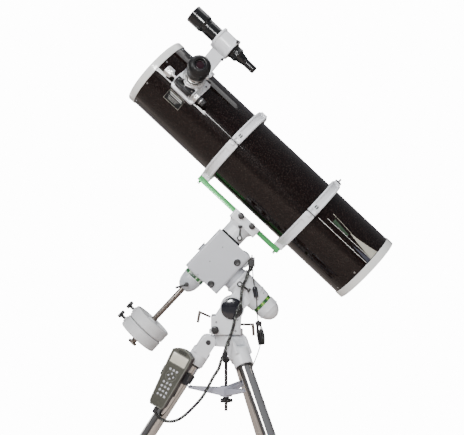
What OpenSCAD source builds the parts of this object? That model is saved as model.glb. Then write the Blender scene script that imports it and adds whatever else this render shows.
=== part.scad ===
// Newtonian reflector telescope on a German equatorial mount and a steel tripod.
// Z is up, the tube points up towards -X, and the origin is on the floor under the azimuth axis.

/* [Telescope tube] */
// Outer diameter of the optical tube
tube_od = 232; // [200:1:240]
// Wall of the optical tube
tube_wall = 1.5; // [1:0.25:3]
// Front end of the tube, ahead of the declination axis
tube_front = 542; // [520:1:560]
// Rear end of the tube, behind the declination axis
tube_rear = 386; // [375:1:400]
// Width of the white end rings
end_ring_w = 25; // [20:1:30]
// Width of a tube ring
ring_w = 32; // [26:1:34]
// Thickness of a tube ring
ring_t = 15; // [12:1:15]
// Angle of the focuser above the level, seen from the side
focuser_roll = 18; // [10:1:25]
// Angle of the finder above the level, seen from the side
finder_roll = 65; // [60:1:70]
// Diameter of the primary mirror
mirror_d = 200; // [180:1:204]

/* [Mount] */
// Latitude that the polar axis is set to
latitude = 43.2; // [42:0.1:45]
// Height of the tube's axis above the polar axis
tube_h = 305; // [303:1:308]
// Length of the declination housing along the polar axis
dec_box_l = 134; // [120:1:140]
// Radius of the polar axis housing
ra_r = 42; // [38:1:43]
// Radius of the altitude covers
cover_r = 34; // [30:1:36]

/* [Counterweights] */
// Radius of the counterweight shaft
shaft_r = 9; // [8:0.5:9]
// Radius of a counterweight
weight_r = 67; // [60:1:70]
// Thickness of a counterweight
weight_t = 39; // [30:1:39]

/* [Tripod] */
// Height of the tripod head's lower face
head_z = 660; // [640:1:680]
// Lean of a leg from upright
leg_lean = 32.9; // [30:0.1:34]
// Diameter of a leg's steel tube
leg_od = 44.5; // [40:0.5:48]
// Length of a leg from its hinge to the floor, with its extension pushed in
leg_len = 803; // [790:1:815]
// Turn of the three legs about the azimuth axis
legs_turn = 4; // [0:1:8]

/* [Handset and cords] */
// Length of the handset
handset_l = 200; // [180:1:205]
// Width of the handset at its screen
handset_w = 72; // [65:1:76]
// Thickness of the handset
handset_t = 28; // [24:1:30]
// Diameter of the wrapped handset cord
handset_cord_d = 11; // [9:0.5:12]
// Diameter of the thin power cord
power_cord_d = 3.5; // [3:0.5:4]

/* [Hidden] */
$fn = 64;

// Gap between faces that move past each other
gap = 0.4;
tube_r = tube_od / 2;
ring_in = tube_r + 2.5;
ring_out = ring_in + ring_t;
end_ring_r = tube_r + 2.5;
// Places of the two tube rings along the tube, from the declination axis
ring_front_x = -189;
ring_rear_x = 129;
split_gap = 3;
hinge_y = -(ring_out + 4);
hinge_r = 3.6;
// Where the polar axis crosses the declination axis
cross_x = -43;
cross_z = head_z + 283;
// Altitude axis
alt_x = 19;
alt_z = head_z + 122;
// Dovetail bar between the saddle and the rings
bar_bottom = tube_h - 157;
bar_top = tube_h - 141;
// Focuser and finder
focuser_x = -408;
pinion_y = -31;
pinion_z = 158;
// How far the drawtube stands out of its body
draw_out = 19;
finder_h = 225;
// Declination housing
dec_x0 = -44;
dec_x1 = dec_x0 + dec_box_l;
dec_z0 = -76;
dec_z1 = 82;
dec_half_y = 50;
neck_z0 = 88;
// Polar axis housing
ra_x0 = 106;
ra_x1 = 211;
ra_ring_x1 = 222;
ra_dome_x1 = 277;
// Altitude axis in the polar frame
alt_px = (alt_x - cross_x) * cos(latitude) - (alt_z - cross_z) * sin(latitude);
alt_pz = (alt_x - cross_x) * sin(latitude) + (alt_z - cross_z) * cos(latitude);
yoke_in = 36;
yoke_out = 60;
// Radius of the altitude covers' dome, which rises 5 mm over their radius
cover_dome_r = (cover_r * cover_r + 25) / 10;
base_z = head_z + 40.3;
// Counterweights along the shaft
weight_upper_z = -273;
weight_lower_z = weight_upper_z - weight_t - 1;
shaft_end = -368;
// Tripod
hinge_rad = 58;
hinge_z = head_z + 14;
leg_turns = [180 + legs_turn, legs_turn - 60, legs_turn + 60];
leg_r = leg_od / 2;
clamp_at = 640;
clamp_len = 60;
ext_r = 19;
spreader_z = 500;
spreader_reach = 121;
// Handset
handset_at = [-170, -62, 566];
handset_tilt = 27.5;
handset_yaw = -18;
face_y = -handset_t / 2;
key_r = 3.6;
key_spots = concat(
    [for (i = [-1:1]) [i * 12, 26]],
    [for (i = [0:3]) [9 * cos(90 * i), 6 + 9 * sin(90 * i)]],
    [for (row = [0:3], col = [-1:1]) [col * 12, -18 - row * 14]]);
// Cord box beside the declination housing
box_at = [80, -26, 928];

// Routes of the cords, from the box down
handset_route = [
    [75.7, -28.9, 907.2], [70, -46, 892], [62, -62, 873], [54, -70, 856], [49, -74, 834],
    [45, -78, 798], [31, -81, 762], [22, -84, 724], [12, -96, 694], [2, -100, 670],
    [-8, -100, 640], [-16, -97, 620], [-23, -92, 597], [-38, -87, 574], [-54, -82, 543],
    [-74, -77, 508], [-104, -73, 474], [-132, -70, 448], [-157, -68, 434], [-184, -67, 432],
    [-206, -66, 442], [-219, -64, 458], [-217, -63, 474]];
power_route = [
    [84, -24, 909], [84, -34, 900], [85, -48, 881], [87, -58, 862], [88.8, -61, 853.5]];
power_route_mid = [
    [95.2, -62, 812.6], [96, -62, 798], [97, -61, 782], [98, -60, 764], [99, -58, 752]];
power_route_tail = [
    [110, -43, 692], [110, -43, 680], [107, -39, 664], [100, -32, 640], [92, -25, 618],
    [84, -20, 598], [80.2, -18, 583]];

// ---- Frames ----
// X runs down the polar axis and Z up the declination axis, from where they cross.
module polar() {
    translate([cross_x, 0, cross_z]) rotate([0, latitude, 0]) children();
}

// X along the tube, Z out through the focuser, from the tube's axis.
module focuser_frame() {
    polar() translate([focuser_x, 0, tube_h]) rotate([90 - focuser_roll, 0, 0]) children();
}

module finder_frame() {
    polar() translate([0, 0, tube_h]) rotate([90 - finder_roll, 0, 0]) children();
}

// Z down the leg from its hinge, and Y along the hinge.
module leg_frame(turn) {
    rotate([0, 0, turn]) translate([hinge_rad, 0, hinge_z]) rotate([0, 180 - leg_lean, 0])
        children();
}

module handset_frame() {
    translate(handset_at) rotate([0, handset_tilt, 0]) rotate([0, 0, handset_yaw]) children();
}

// ---- Shapes used more than once ----
module along_x(x0, x1, r) {
    translate([x0, 0, 0]) rotate([0, 90, 0]) cylinder(h = x1 - x0, r = r);
}

module along_y(y0, y1, r) {
    translate([0, y0, 0]) rotate([-90, 0, 0]) cylinder(h = y1 - y0, r = r);
}

// A box from corner a to corner b.
module block(a, b) {
    translate(a) cube(b - a);
}

// A box from corner a to corner b, with its upright edges rounded.
module round_block(a, b, r) {
    block([a.x + r, a.y, a.z], [b.x - r, b.y, b.z]);
    block([a.x, a.y + r, a.z], [b.x, b.y - r, b.z]);
    for (x = [a.x + r, b.x - r], y = [a.y + r, b.y - r])
        translate([x, y, a.z]) cylinder(h = b.z - a.z, r = r);
}

// A star knob: a hub with lobes round it.
module star_knob(r, h, lobes) {
    cylinder(h = h, r = r * 0.62);
    for (i = [0:lobes - 1]) rotate([0, 0, i * 360 / lobes])
        translate([r * 0.68, 0, 0.8]) cylinder(h = h - 1.6, r = r * 0.32);
}

// ---- Cord tubes ----
function unit(v) = v / norm(v);
function spline(p0, p1, p2, p3, t) =
    0.5 * (2 * p1 + (p2 - p0) * t + (2 * p0 - 5 * p1 + 4 * p2 - p3) * t * t
        + (3 * p1 - p0 - 3 * p2 + p3) * t * t * t);
function at(route, i) = route[max(0, min(len(route) - 1, i))];
function smooth(route, steps) = concat(
    [for (i = [0:len(route) - 2], s = [0:steps - 1])
        spline(at(route, i - 1), at(route, i), at(route, i + 1), at(route, i + 2), s / steps)],
    [route[len(route) - 1]]);
function heading(line, i) = unit(at(line, i + 1) - at(line, i - 1));

module cord_tube(route, d, sides, steps) {
    line = smooth(route, steps);
    n = len(line);
    rings = [for (i = [0:n - 1])
        let (t = heading(line, i), a = unit(cross(t, [0, 1, 0.2])), b = cross(t, a))
        for (k = [0:sides - 1])
            line[i] + d / 2 * (a * cos(360 * k / sides) + b * sin(360 * k / sides))];
    walls = [for (i = [0:n - 2], k = [0:sides - 1])
        let (p = i * sides + k, q = i * sides + (k + 1) % sides)
        [p, q, q + sides, p + sides]];
    polyhedron(rings, concat(
        [[for (k = [sides - 1:-1:0]) k]], walls,
        [[for (k = [0:sides - 1]) (n - 1) * sides + k]]));
}

// ---- Tripod ----
module tripod_head() color("whitesmoke") difference() {
    union() {
        translate([0, 0, head_z]) cylinder(h = 40, r = 38);
        for (turn = leg_turns) rotate([0, 0, turn]) {
            block([30, -20, head_z + 1], [hinge_rad, 20, head_z + 34]);
            translate([hinge_rad, 0, hinge_z]) along_y(-20, 20, 12.5);
        }
    }
    translate([0, 0, head_z - 1]) cylinder(h = 42, r = 8);
    for (turn = leg_turns) rotate([0, 0, turn])
        translate([hinge_rad, 0, hinge_z]) along_y(-40, 40, 5.05);
}

module leg_hinge_bolts() color("silver") for (turn = leg_turns)
    rotate([0, 0, turn]) translate([hinge_rad, 0, hinge_z]) {
        along_y(-31, 31, 5);
        for (side = [-1, 1]) scale([1, side, 1]) along_y(30.8, 35, 8);
    }

module mount_lock_rod() color("dimgray") {
    translate([0, 0, head_z - 206]) cylinder(h = 258, r = 5);
    translate([0, 0, head_z - 48]) star_knob(18, 14, 6);
}

module spreader() color("lightgray") difference() {
    union() {
        translate([0, 0, spreader_z]) cylinder(h = 32, r = 20);
        for (turn = leg_turns) rotate([0, 0, turn]) rotate([90, 0, 0])
            translate([0, 0, -15]) linear_extrude(height = 30) polygon([
                [12, spreader_z + 5], [22, spreader_z + 5], [spreader_reach, spreader_z + 28],
                [spreader_reach, spreader_z + 34], [22, spreader_z + 29], [12, spreader_z + 29]]);
    }
    translate([0, 0, spreader_z - 1]) cylinder(h = 50, r = 5.6);
}

module spreader_knob() color("black") difference() {
    translate([0, 0, spreader_z - 19]) {
        star_knob(21.5, 12, 5);
        translate([0, 0, 6]) cylinder(h = 12.6, r = 10);
    }
    translate([0, 0, spreader_z - 30]) cylinder(h = 40, r = 5.6);
}

module leg_casting(turn) color("whitesmoke") leg_frame(turn) {
    difference() {
        union() {
            for (y = [-30, 20 + gap]) {
                along_y(y, y + 9.6, 24);
                block([-24, y, 0], [24, y + 9.6, 40]);
            }
            block([-24, -30, 23], [24, 30, 48]);
            translate([0, 0, 30]) cylinder(h = 52, r = 30);
        }
        along_y(-40, 40, 5.3);
        translate([0, 0, 36]) cylinder(h = 60, r = leg_r);
    }
    difference() {
        union() {
            translate([0, 0, clamp_at]) cylinder(h = clamp_len, r = 29);
            translate([0, 0, clamp_at + 30]) along_x(-42, 0, 13);
        }
        translate([0, 0, clamp_at - 1]) cylinder(h = 46, r = leg_r);
        translate([0, 0, clamp_at - 1]) cylinder(h = 70, r = ext_r + 0.4);
        translate([0, 0, clamp_at + 30]) along_x(-50, 0, 5.4);
    }
}

module leg_tube(turn) color("silver") leg_frame(turn) difference() {
    translate([0, 0, 36]) cylinder(h = clamp_at + 9, r = leg_r);
    translate([0, 0, 35]) cylinder(h = clamp_at + 11, r = leg_r - 2);
}

module leg_extension(turn) color("gainsboro") intersection() {
    leg_frame(turn) difference() {
        union() {
            translate([0, 0, 330]) cylinder(h = leg_len - 330, r = ext_r);
            translate([0, 0, clamp_at + clamp_len + gap + 46]) cylinder(h = 90, r = 24);
        }
        translate([0, 0, 329]) cylinder(h = clamp_at - 300, r = ext_r - 2);
    }
    translate([-1000, -1000, 0]) cube([2000, 2000, 1000]);
}

module leg_knob(turn) color("black") leg_frame(turn) translate([0, 0, clamp_at + 30]) {
    along_x(-46, -22.8, 5);
    translate([-45, 0, 0]) rotate([0, -90, 0]) star_knob(17, 14, 5);
}

// ---- Mount head ----
module yoke_cheek() {
    linear_extrude(height = yoke_out - yoke_in) polygon([
        [-47, base_z], [47, base_z], [47, base_z + 34], [alt_x + 33, alt_z],
        [alt_x, alt_z + 20], [alt_x - 32, alt_z + 8], [-45, base_z + 42]]);
    translate([alt_x, alt_z, 0]) cylinder(h = yoke_out - yoke_in, r = 38);
}

module mount_base() color("whitesmoke") difference() {
    union() {
        translate([0, 0, base_z]) cylinder(h = 14, r = 54);
        block([-47, -yoke_out, base_z + 2], [47, yoke_out, base_z + 26]);
        block([-47, -yoke_out, base_z + 2], [-34, yoke_out, base_z + 58]);
        block([34, -yoke_out, base_z + 2], [47, yoke_out, base_z + 38]);
        for (y = [-yoke_in, yoke_out]) translate([0, y, 0]) rotate([90, 0, 0]) yoke_cheek();
    }
    translate([0, 0, base_z - 1]) cylinder(h = 20, r = 5.4);
    translate([alt_x, 0, alt_z]) along_y(-yoke_in - 16, yoke_in + 16, 12.05);
    for (side = [-1, 1]) translate([-34, 0, base_z + 16]) scale([1, side, 1]) along_y(38, 70, 4);
}

module altitude_covers() color("black") for (side = [-1, 1])
    translate([alt_x, 0, alt_z]) scale([1, side, 1]) {
        along_y(yoke_out, yoke_out + 4, cover_r);
        translate([0, yoke_out + 4, 0]) rotate([-90, 0, 0])
            rotate_extrude() intersection() {
                translate([0, -cover_dome_r + 5]) circle(r = cover_dome_r, $fn = 96);
                square([cover_r, 5]);
            }
    }

module azimuth_knobs() color("black") for (side = [-1, 1])
    translate([-34, 0, base_z + 16]) scale([1, side, 1]) {
        along_y(42, 64, 3.8);
        along_y(yoke_out + gap, yoke_out + 15, 12);
    }

module latitude_bolts() color("dimgray") {
    translate([-49.2, 0, base_z + 52]) rotate([0, -66, 0]) {
        cylinder(h = 42, r = 4);
        translate([0, 0, 38]) rotate([0, -104, 0]) cylinder(h = 34, r = 4.5);
    }
    translate([47 + gap, 0, base_z + 28]) rotate([0, 90, 0]) {
        cylinder(h = 42, r = 4);
        translate([0, 0, 38]) rotate([0, 86, 0]) cylinder(h = 36, r = 4.5);
    }
}

module ra_housing() color("whitesmoke") polar() difference() {
    union() {
        rotate([0, 90, 0]) rotate_extrude() polygon([
            [0, ra_x0], [ra_r + 3, ra_x0], [ra_r + 3, ra_x0 + 8], [ra_r, ra_x0 + 11],
            [ra_r - 3, ra_x1 - 20], [ra_r - 5, ra_x1], [30, ra_x1], [30, ra_ring_x1],
            [ra_r - 5, ra_ring_x1], [ra_r - 6, ra_dome_x1 - 34], [ra_r - 12, ra_dome_x1 - 18],
            [ra_r - 22, ra_dome_x1 - 6], [ra_r - 34, ra_dome_x1], [0, ra_dome_x1]]);
        translate([alt_px, 0, alt_pz]) along_y(-yoke_in + 0.5, yoke_in - 0.5, 30);
        block([alt_px - 30, -34, alt_pz], [alt_px + 30, 34, -20]);
        translate([alt_px, 0, alt_pz]) along_y(-yoke_in - 14, yoke_in + 14, 12);
        translate([121, 0, -3]) along_y(-ra_r - 4, 0, 9);
    }
    along_x(ra_x0 - 1, ra_x0 + 60, 30.3);
    translate([121, 0, -3]) along_y(-ra_r - 5, -ra_r + 6, 4);
}

module ra_setting_ring() color("darkgreen") polar() difference() {
    along_x(ra_x1 + 0.5, ra_ring_x1 - 0.5, 34.5);
    along_x(ra_x1, ra_ring_x1, 30.4);
}

module clutch_lever(y, turn, l) {
    along_y(y + gap, y + 9, 9);
    along_y(y - 8, y + 1, 3.7);
    rotate([0, turn, 0]) {
        block([0, y + 3, -3], [l, y + 8, 3]);
        translate([l, 0, 0]) along_y(y + 3, y + 9, 6);
    }
}

module ra_clutch_lever() color("black")
    polar() translate([121, 0, -3]) scale([1, -1, 1]) clutch_lever(ra_r + 4, -10, 32);

module dec_block() polar() difference() {
    union() {
        round_block([dec_x0, -dec_half_y, dec_z0], [dec_x1, dec_half_y, dec_z1], 9);
        translate([0, 0, dec_z1 - 1]) cylinder(h = 5, r = 36);
        translate([72, 0, 58]) along_y(-34, 34, 28);
        rotate_extrude() polygon([
            [0, dec_z0], [30, dec_z0], [33.5, dec_z0 - 2], [33.5, dec_z0 - 24], [31, dec_z0 - 40],
            [25, dec_z0 - 53], [17, dec_z0 - 61], [14, dec_z0 - 62], [0, dec_z0 - 62]]);
        along_x(dec_x1 - 1, ra_x0 - gap, ra_r - 2);
        along_x(dec_x1 - 1, ra_x0 + 55, 30);
        translate([dec_x0 - 5, 0, 0]) along_x(0, 6, 14);
        for (p = [[69, 41], [55, -64]]) translate([p.x, 0, p.y])
            along_y(-dec_half_y - 2, -dec_half_y + 1, 11);
    }
    translate([0, 0, dec_z0 - 70]) cylinder(h = 210, r = shaft_r + 0.3);
    translate([0, 0, dec_z1 - 40]) cylinder(h = 60, r = 26.3);
    translate([0, -33, -118]) along_y(-8, 12, 4.2);
}

// The cord box sits in a pocket at the housing's corner.
module dec_housing() color("gainsboro") difference() {
    dec_block();
    translate(box_at) block([-10.6, -9.6, -16.6], [21, 9.6, 24]);
}

module shaft_lock_lever() color("black") polar() translate([0, -33, -118]) {
    along_y(-9, 8, 4);
    along_y(-18, -8, 7);
    rotate([0, 120, 0]) block([0, -17, -4], [36, -10, 4]);
}

module counterweight_shaft() color("silver") polar() {
    translate([0, 0, shaft_end]) cylinder(h = -shaft_end - 78, r = shaft_r);
    translate([0, 0, shaft_end - 8]) cylinder(h = 8, r = 15);
}

module counterweight(z) color("lightgray") polar() translate([0, 0, z - weight_t]) difference() {
    rotate_extrude() polygon([
        [shaft_r + 0.3, 0], [weight_r - 14, 0], [weight_r - 7, 2], [weight_r - 2, 6],
        [weight_r, 12], [weight_r, weight_t - 12], [weight_r - 2, weight_t - 6],
        [weight_r - 7, weight_t - 2], [weight_r - 14, weight_t], [30, weight_t],
        [28, weight_t - 4], [18, weight_t - 4], [16, weight_t], [shaft_r + 0.3, weight_t]]);
    translate([0, 0, weight_t / 2]) along_x(-weight_r - 5, 0, 5.3);
}

module weight_screw(z) color("black") polar() translate([0, 0, z - weight_t / 2]) {
    along_x(-weight_r - 16, -shaft_r - 0.6, 5);
    translate([-weight_r - 14, 0, 0]) rotate([0, -90, 0]) star_knob(15, 12, 3);
}

module saddle() color("whitesmoke") polar() difference() {
    union() {
        translate([0, 0, neck_z0]) cylinder(h = 34, r = 37.5);
        translate([0, 0, dec_z1 - 38]) cylinder(h = 50, r = 26);
        translate([0, 0, neck_z0 + 33]) cylinder(h = 14, r1 = 37.5, r2 = 47);
        round_block([-50, -45, neck_z0 + 44], [52, 45, bar_top], 6);
        translate([22, 0, 102]) along_y(-44, 0, 9);
    }
    translate([-100, 0, 0]) rotate([90, 0, 90]) linear_extrude(height = 200) polygon([
        [-23, bar_bottom - gap], [23, bar_bottom - gap], [19, bar_top + 1], [-19, bar_top + 1]]);
    translate([0, 0, neck_z0 - 50]) cylinder(h = 90, r = 12);
    for (x = [-22, 24]) translate([x, 0, bar_top - 8]) along_y(-50, -20, 4.3);
    translate([22, 0, 102]) along_y(-48, -31, 4);
}

module dec_clutch_lever() color("black")
    polar() translate([22, 0, 102]) scale([1, -1, 1]) clutch_lever(44, -130, 34);

module saddle_knobs() color("black") polar() for (x = [-22, 24])
    translate([x, 0, bar_top - 8]) {
        along_y(-46, -21.5, 4);
        along_y(-60, -45 - gap, 10);
    }

// ---- Telescope ----
module dovetail_bar() color("mediumseagreen") polar() {
    translate([-204, 0, 0]) rotate([90, 0, 90]) linear_extrude(height = 345) polygon([
        [-22.4, bar_bottom], [22.4, bar_bottom], [18.5, bar_top], [-18.5, bar_top]]);
    for (x = [-194, 131]) translate([x, 0, bar_bottom - 6]) cylinder(h = 7, r = 4);
}

// The whole tube ring, its foot left out.
module ring_hoop(x) {
    translate([x, 0, tube_h]) difference() {
        union() {
            along_x(-ring_w / 2, ring_w / 2, ring_out);
            block([-ring_w / 2, ring_out - 8, -16], [ring_w / 2, ring_out + 14, 16]);
        }
        along_x(-ring_w, ring_w, ring_in);
    }
}

module ring_base(x) {
    intersection() {
        ring_hoop(x);
        translate([x - 100, -200, tube_h - 200]) cube([200, 400, 200 - split_gap]);
    }
    difference() {
        block([x - ring_w / 2, -24, bar_top], [x + ring_w / 2, 24, tube_h - ring_in + 8]);
        translate([0, 0, tube_h]) along_x(x - ring_w, x + ring_w, ring_in);
    }
    translate([x, hinge_y, tube_h]) {
        along_x(-5, 5, hinge_r);
        block([-5, 0, -14], [5, 8, 0]);
    }
}

module ring_bases() color("whitesmoke") polar() for (x = [ring_front_x, ring_rear_x])
    difference() {
        ring_base(x);
        translate([x, ring_out + 6, tube_h - 40]) cylinder(h = 50, r = 5.5);
    }

module ring_top(x) color("whitesmoke") polar() difference() {
    union() {
        intersection() {
            ring_hoop(x);
            translate([x - 100, -200, tube_h + split_gap]) cube([200, 400, 200]);
        }
        for (s = [[-14, -5.5], [5.5, 14]]) translate([x, hinge_y, tube_h]) {
            along_x(s[0], s[1], hinge_r);
            block([s[0], 0, 0], [s[1], 8, 14]);
        }
        block([x - 12, -13, tube_h + ring_out - 4], [x + 12, 13, tube_h + ring_out + 5]);
    }
    translate([x, ring_out + 6, tube_h - 10]) cylinder(h = 50, r = 4.3);
    translate([x, 0, tube_h + ring_out - 6]) cylinder(h = 20, r = 3.2);
}

// The captive screw that closes a tube ring.
module ring_screw(x) color("black") polar() translate([x, ring_out + 6, tube_h]) {
    translate([0, 0, -13]) cylinder(h = 30, r = 4);
    translate([0, 0, 16 + gap]) star_knob(11, 12, 5);
}

module ring_front_top() {
    ring_top(ring_front_x);
    ring_screw(ring_front_x);
}

module ring_rear_top() {
    ring_top(ring_rear_x);
    ring_screw(ring_rear_x);
}

module optical_tube() color("black") difference() {
    polar() translate([0, 0, tube_h]) difference() {
        along_x(-tube_front + 3.5, tube_rear - 6.5, tube_r);
        along_x(-tube_front, tube_rear, tube_r - tube_wall);
    }
    focuser_frame() cylinder(h = tube_od, r = 30);
}

module front_ring() color("white") polar() translate([0, 0, tube_h]) difference() {
    along_x(-tube_front, -tube_front + end_ring_w, end_ring_r);
    along_x(-tube_front + 3, -tube_front + end_ring_w + 1, tube_r + 0.1);
    along_x(-tube_front - 1, -tube_front + 5, 107);
}

module rear_ring() color("white") polar() translate([0, 0, tube_h]) difference() {
    union() {
        difference() {
            along_x(tube_rear - end_ring_w, tube_rear, end_ring_r);
            along_x(tube_rear - end_ring_w - 1, tube_rear - 6, tube_r + 0.1);
            along_x(tube_rear - 10, tube_rear + 1, 104);
        }
        along_x(tube_rear - 21, tube_rear - 13, 109);
        for (a = [0:60:300]) rotate([a, 0, 0])
            block([tube_rear - 14, -7, 98], [tube_rear - 4, 7, 108.9]);
    }
    for (a = [0:60:300]) rotate([a, 0, 0]) translate([0, 0, 78])
        along_x(tube_rear - 30, tube_rear, 3.3);
    along_x(tube_rear - 30, tube_rear, 22);
}

module primary_mirror() color("lightsteelblue") polar() translate([0, 0, tube_h]) difference() {
    along_x(tube_rear - 52, tube_rear - 24, mirror_d / 2);
    translate([tube_rear - 52 - 1997.4, 0, 0]) sphere(r = 2000);
}

module collimation_knobs() color("silver") polar() translate([0, 0, tube_h])
    for (i = [0:5]) rotate([i * 60, 0, 0]) translate([0, 0, 78]) {
        along_x(tube_rear - 21, tube_rear - 10, 3);
        along_x(tube_rear - 12.6, tube_rear - (i % 2 == 0 ? 1 : 8), i % 2 == 0 ? 8 : 5);
    }

module spider() color("dimgray") focuser_frame() {
    for (a = [45:90:315]) rotate([a, 0, 0])
        block([-48, -0.6, 20], [-34, 0.6, tube_r - tube_wall - 0.1]);
    intersection() {
        union() {
            along_x(-50, -12, 21);
            along_x(-20, 30, 25);
        }
        rotate([0, 45, 0]) translate([-60, -60, -70]) cube([120, 120, 60.6]);
    }
}

module secondary_mirror() color("lightsteelblue") focuser_frame() intersection() {
    along_x(-45, 45, 26);
    rotate([0, 45, 0]) translate([-60, -60, -9]) cube([120, 120, 9]);
}

module focuser_body() color("white") focuser_frame() difference() {
    union() {
        intersection() {
            round_block([-46, -46, 96], [46, 46, 128], 10);
            translate([0, 0, 0]) along_x(-60, 60, tube_r + 9);
        }
        translate([0, 0, 100]) cylinder(h = 76, r = 36);
        translate([0, 0, 172]) cylinder(h = 14, r = 33);
        block([-40, -46, 146], [34, -16, 172]);
    }
    along_x(-100, 100, tube_r + 0.3);
    translate([0, 0, 90]) cylinder(h = 110, r = 27.5);
    translate([0, pinion_y - 3, pinion_z]) along_x(-60, 60, 4.4);
}

module drawtube() color("silver") focuser_frame() difference() {
    union() {
        translate([0, 0, 100 + draw_out]) cylinder(h = 90, r = 27);
        translate([0, 0, 186 + draw_out]) cylinder(h = 12, r = 31);
    }
    translate([0, 0, 99]) cylinder(h = 140, r = 25.55);
}

module focus_knobs() color("silver") focuser_frame() translate([0, pinion_y - 3, pinion_z]) {
    along_x(-62, 40, 4);
    along_x(-80, -56, 15);
    along_x(38, 52, 15);
}

module fine_focus_knob() color("black") focuser_frame() translate([0, pinion_y - 3, pinion_z])
    along_x(52 + gap, 76, 10.5);

module eyepiece() color("black") focuser_frame() translate([0, 0, 198 + draw_out])
    difference() {
        rotate_extrude() polygon([
            [0, -36], [25.5, -36], [25.5, 0], [30, 0], [32, 5], [32, 28], [35, 32], [35, 52],
            [33, 63], [30, 63], [27, 53], [0, 53]]);
        translate([0, 0, -37]) cylinder(h = 20, r = 22);
    }

module finder_bracket() color("white") finder_frame() difference() {
    union() {
        intersection() {
            block([-452, -17, 100], [-386, 17, 130]);
            along_x(-460, -380, tube_r + 10);
        }
        block([-444, -6, tube_r + 4], [-396, 6, finder_h - 30]);
        translate([0, 0, finder_h]) {
            along_x(-452, -389, 33);
            along_x(-452, -444, 36);
            along_x(-397, -389, 36);
        }
    }
    along_x(-500, -300, tube_r + 0.3);
    translate([0, 0, finder_h]) along_x(-500, -300, 24.6);
}

module finder_scope() color("black") finder_frame() translate([0, 0, finder_h])
    rotate([0, 90, 0]) rotate_extrude() polygon([
        [0, -540], [25.5, -540], [25.5, -557], [28.5, -557], [28.5, -506], [26, -503],
        [24.3, -500], [24.3, -386], [22.5, -384], [22.5, -366], [17, -360], [14, -340],
        [12, -336], [12, -300], [10, -297], [0, -297]]);

// ---- Handset and cords ----
module handset() color("dimgray") handset_frame() difference() {
    rotate([90, 0, 0]) translate([0, 0, -handset_t / 2]) linear_extrude(height = handset_t) union() {
        polygon([
            [-handset_w / 2, 62], [-handset_w / 2 + 1, 40], [-27, -88], [-21, -100],
            [21, -100], [27, -88], [handset_w / 2 - 1, 40], [handset_w / 2, 62]]);
        translate([0, 50]) intersection() {
            circle(r = 50);
            translate([-handset_w / 2, 0]) square([handset_w, 50]);
        }
    }
    for (p = key_spots) translate([p.x, 0, p.y]) along_y(face_y - 1, face_y + 2.2, key_r + 0.4);
}

module keypad() color("lightgray") handset_frame()
    for (p = key_spots) translate([p.x, 0, p.y]) along_y(face_y - 1.5, face_y + 1, key_r);

module handset_holder() color("black") difference() {
    union() {
        handset_frame() {
            block([-22, handset_t / 2 + gap, -50], [32, handset_t / 2 + 4, 50]);
            block([4, handset_t / 2 + 2, -2], [44, handset_t / 2 + 34, 36]);
            block([-handset_w / 2 - 3, -6, -6], [-handset_w / 2 - 0.6, handset_t / 2 + 4, 26]);
            block([-handset_w / 2 - 3, handset_t / 2 + gap, -6], [0, handset_t / 2 + 4, 26]);
        }
        leg_frame(leg_turns[0]) translate([0, 0, 116]) cylinder(h = 28, r = 27);
    }
    leg_frame(leg_turns[0]) translate([0, 0, 80]) cylinder(h = 130, r = leg_r + 0.1);
}

module cord_box() color("black") translate(box_at) {
    block([-10, -9, -16], [11, 9, 14]);
    translate([2, 0, 13]) cylinder(h = 9, r = 2.5);
}

module handset_cord() color("black") cord_tube(handset_route, handset_cord_d, 8, 2);

module power_cord() color("black") {
    cord_tube(power_route, power_cord_d, 8, 2);
    cord_tube(power_route_mid, power_cord_d, 8, 2);
    cord_tube(power_route_tail, power_cord_d, 8, 2);
}

module power_hank() color("black") translate([100, -58, 750]) rotate([0, 172, 0])
    linear_extrude(height = 90, scale = 1.25) circle(r = 9);

module power_plug() color("black") {
    translate([89, -61, 852]) rotate([0, 171, 0]) cylinder(h = 38, r = 8);
    translate([80, -18, 542]) cylinder(h = 40, r = 8);
}

tripod_head();
leg_hinge_bolts();
mount_lock_rod();
spreader();
spreader_knob();
leg_casting(leg_turns[0]);  // leg_casting_a
leg_casting(leg_turns[1]);  // leg_casting_b
leg_casting(leg_turns[2]);  // leg_casting_c
leg_tube(leg_turns[0]);  // leg_tube_a
leg_tube(leg_turns[1]);  // leg_tube_b
leg_tube(leg_turns[2]);  // leg_tube_c
leg_extension(leg_turns[0]);  // leg_extension_a
leg_extension(leg_turns[1]);  // leg_extension_b
leg_extension(leg_turns[2]);  // leg_extension_c
leg_knob(leg_turns[0]);  // leg_knob_a
leg_knob(leg_turns[1]);  // leg_knob_b
leg_knob(leg_turns[2]);  // leg_knob_c
mount_base();
altitude_covers();
azimuth_knobs();
latitude_bolts();
ra_housing();
ra_setting_ring();
ra_clutch_lever();
dec_housing();
shaft_lock_lever();
counterweight_shaft();
counterweight(weight_upper_z);  // counterweight_upper
counterweight(weight_lower_z);  // counterweight_lower
weight_screw(weight_upper_z);  // weight_screw_upper
weight_screw(weight_lower_z);  // weight_screw_lower
saddle();
dec_clutch_lever();
saddle_knobs();
dovetail_bar();
ring_bases();
ring_front_top();
ring_rear_top();
optical_tube();
front_ring();
rear_ring();
primary_mirror();
collimation_knobs();
spider();
secondary_mirror();
focuser_body();
drawtube();
focus_knobs();
fine_focus_knob();
eyepiece();
finder_bracket();
finder_scope();
handset();
keypad();
handset_holder();
cord_box();
handset_cord();
power_cord();
power_hank();
power_plug();
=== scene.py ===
import bpy
import bmesh
from math import cos, hypot, pi, radians, sin
from mathutils import Matrix, Vector


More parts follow.
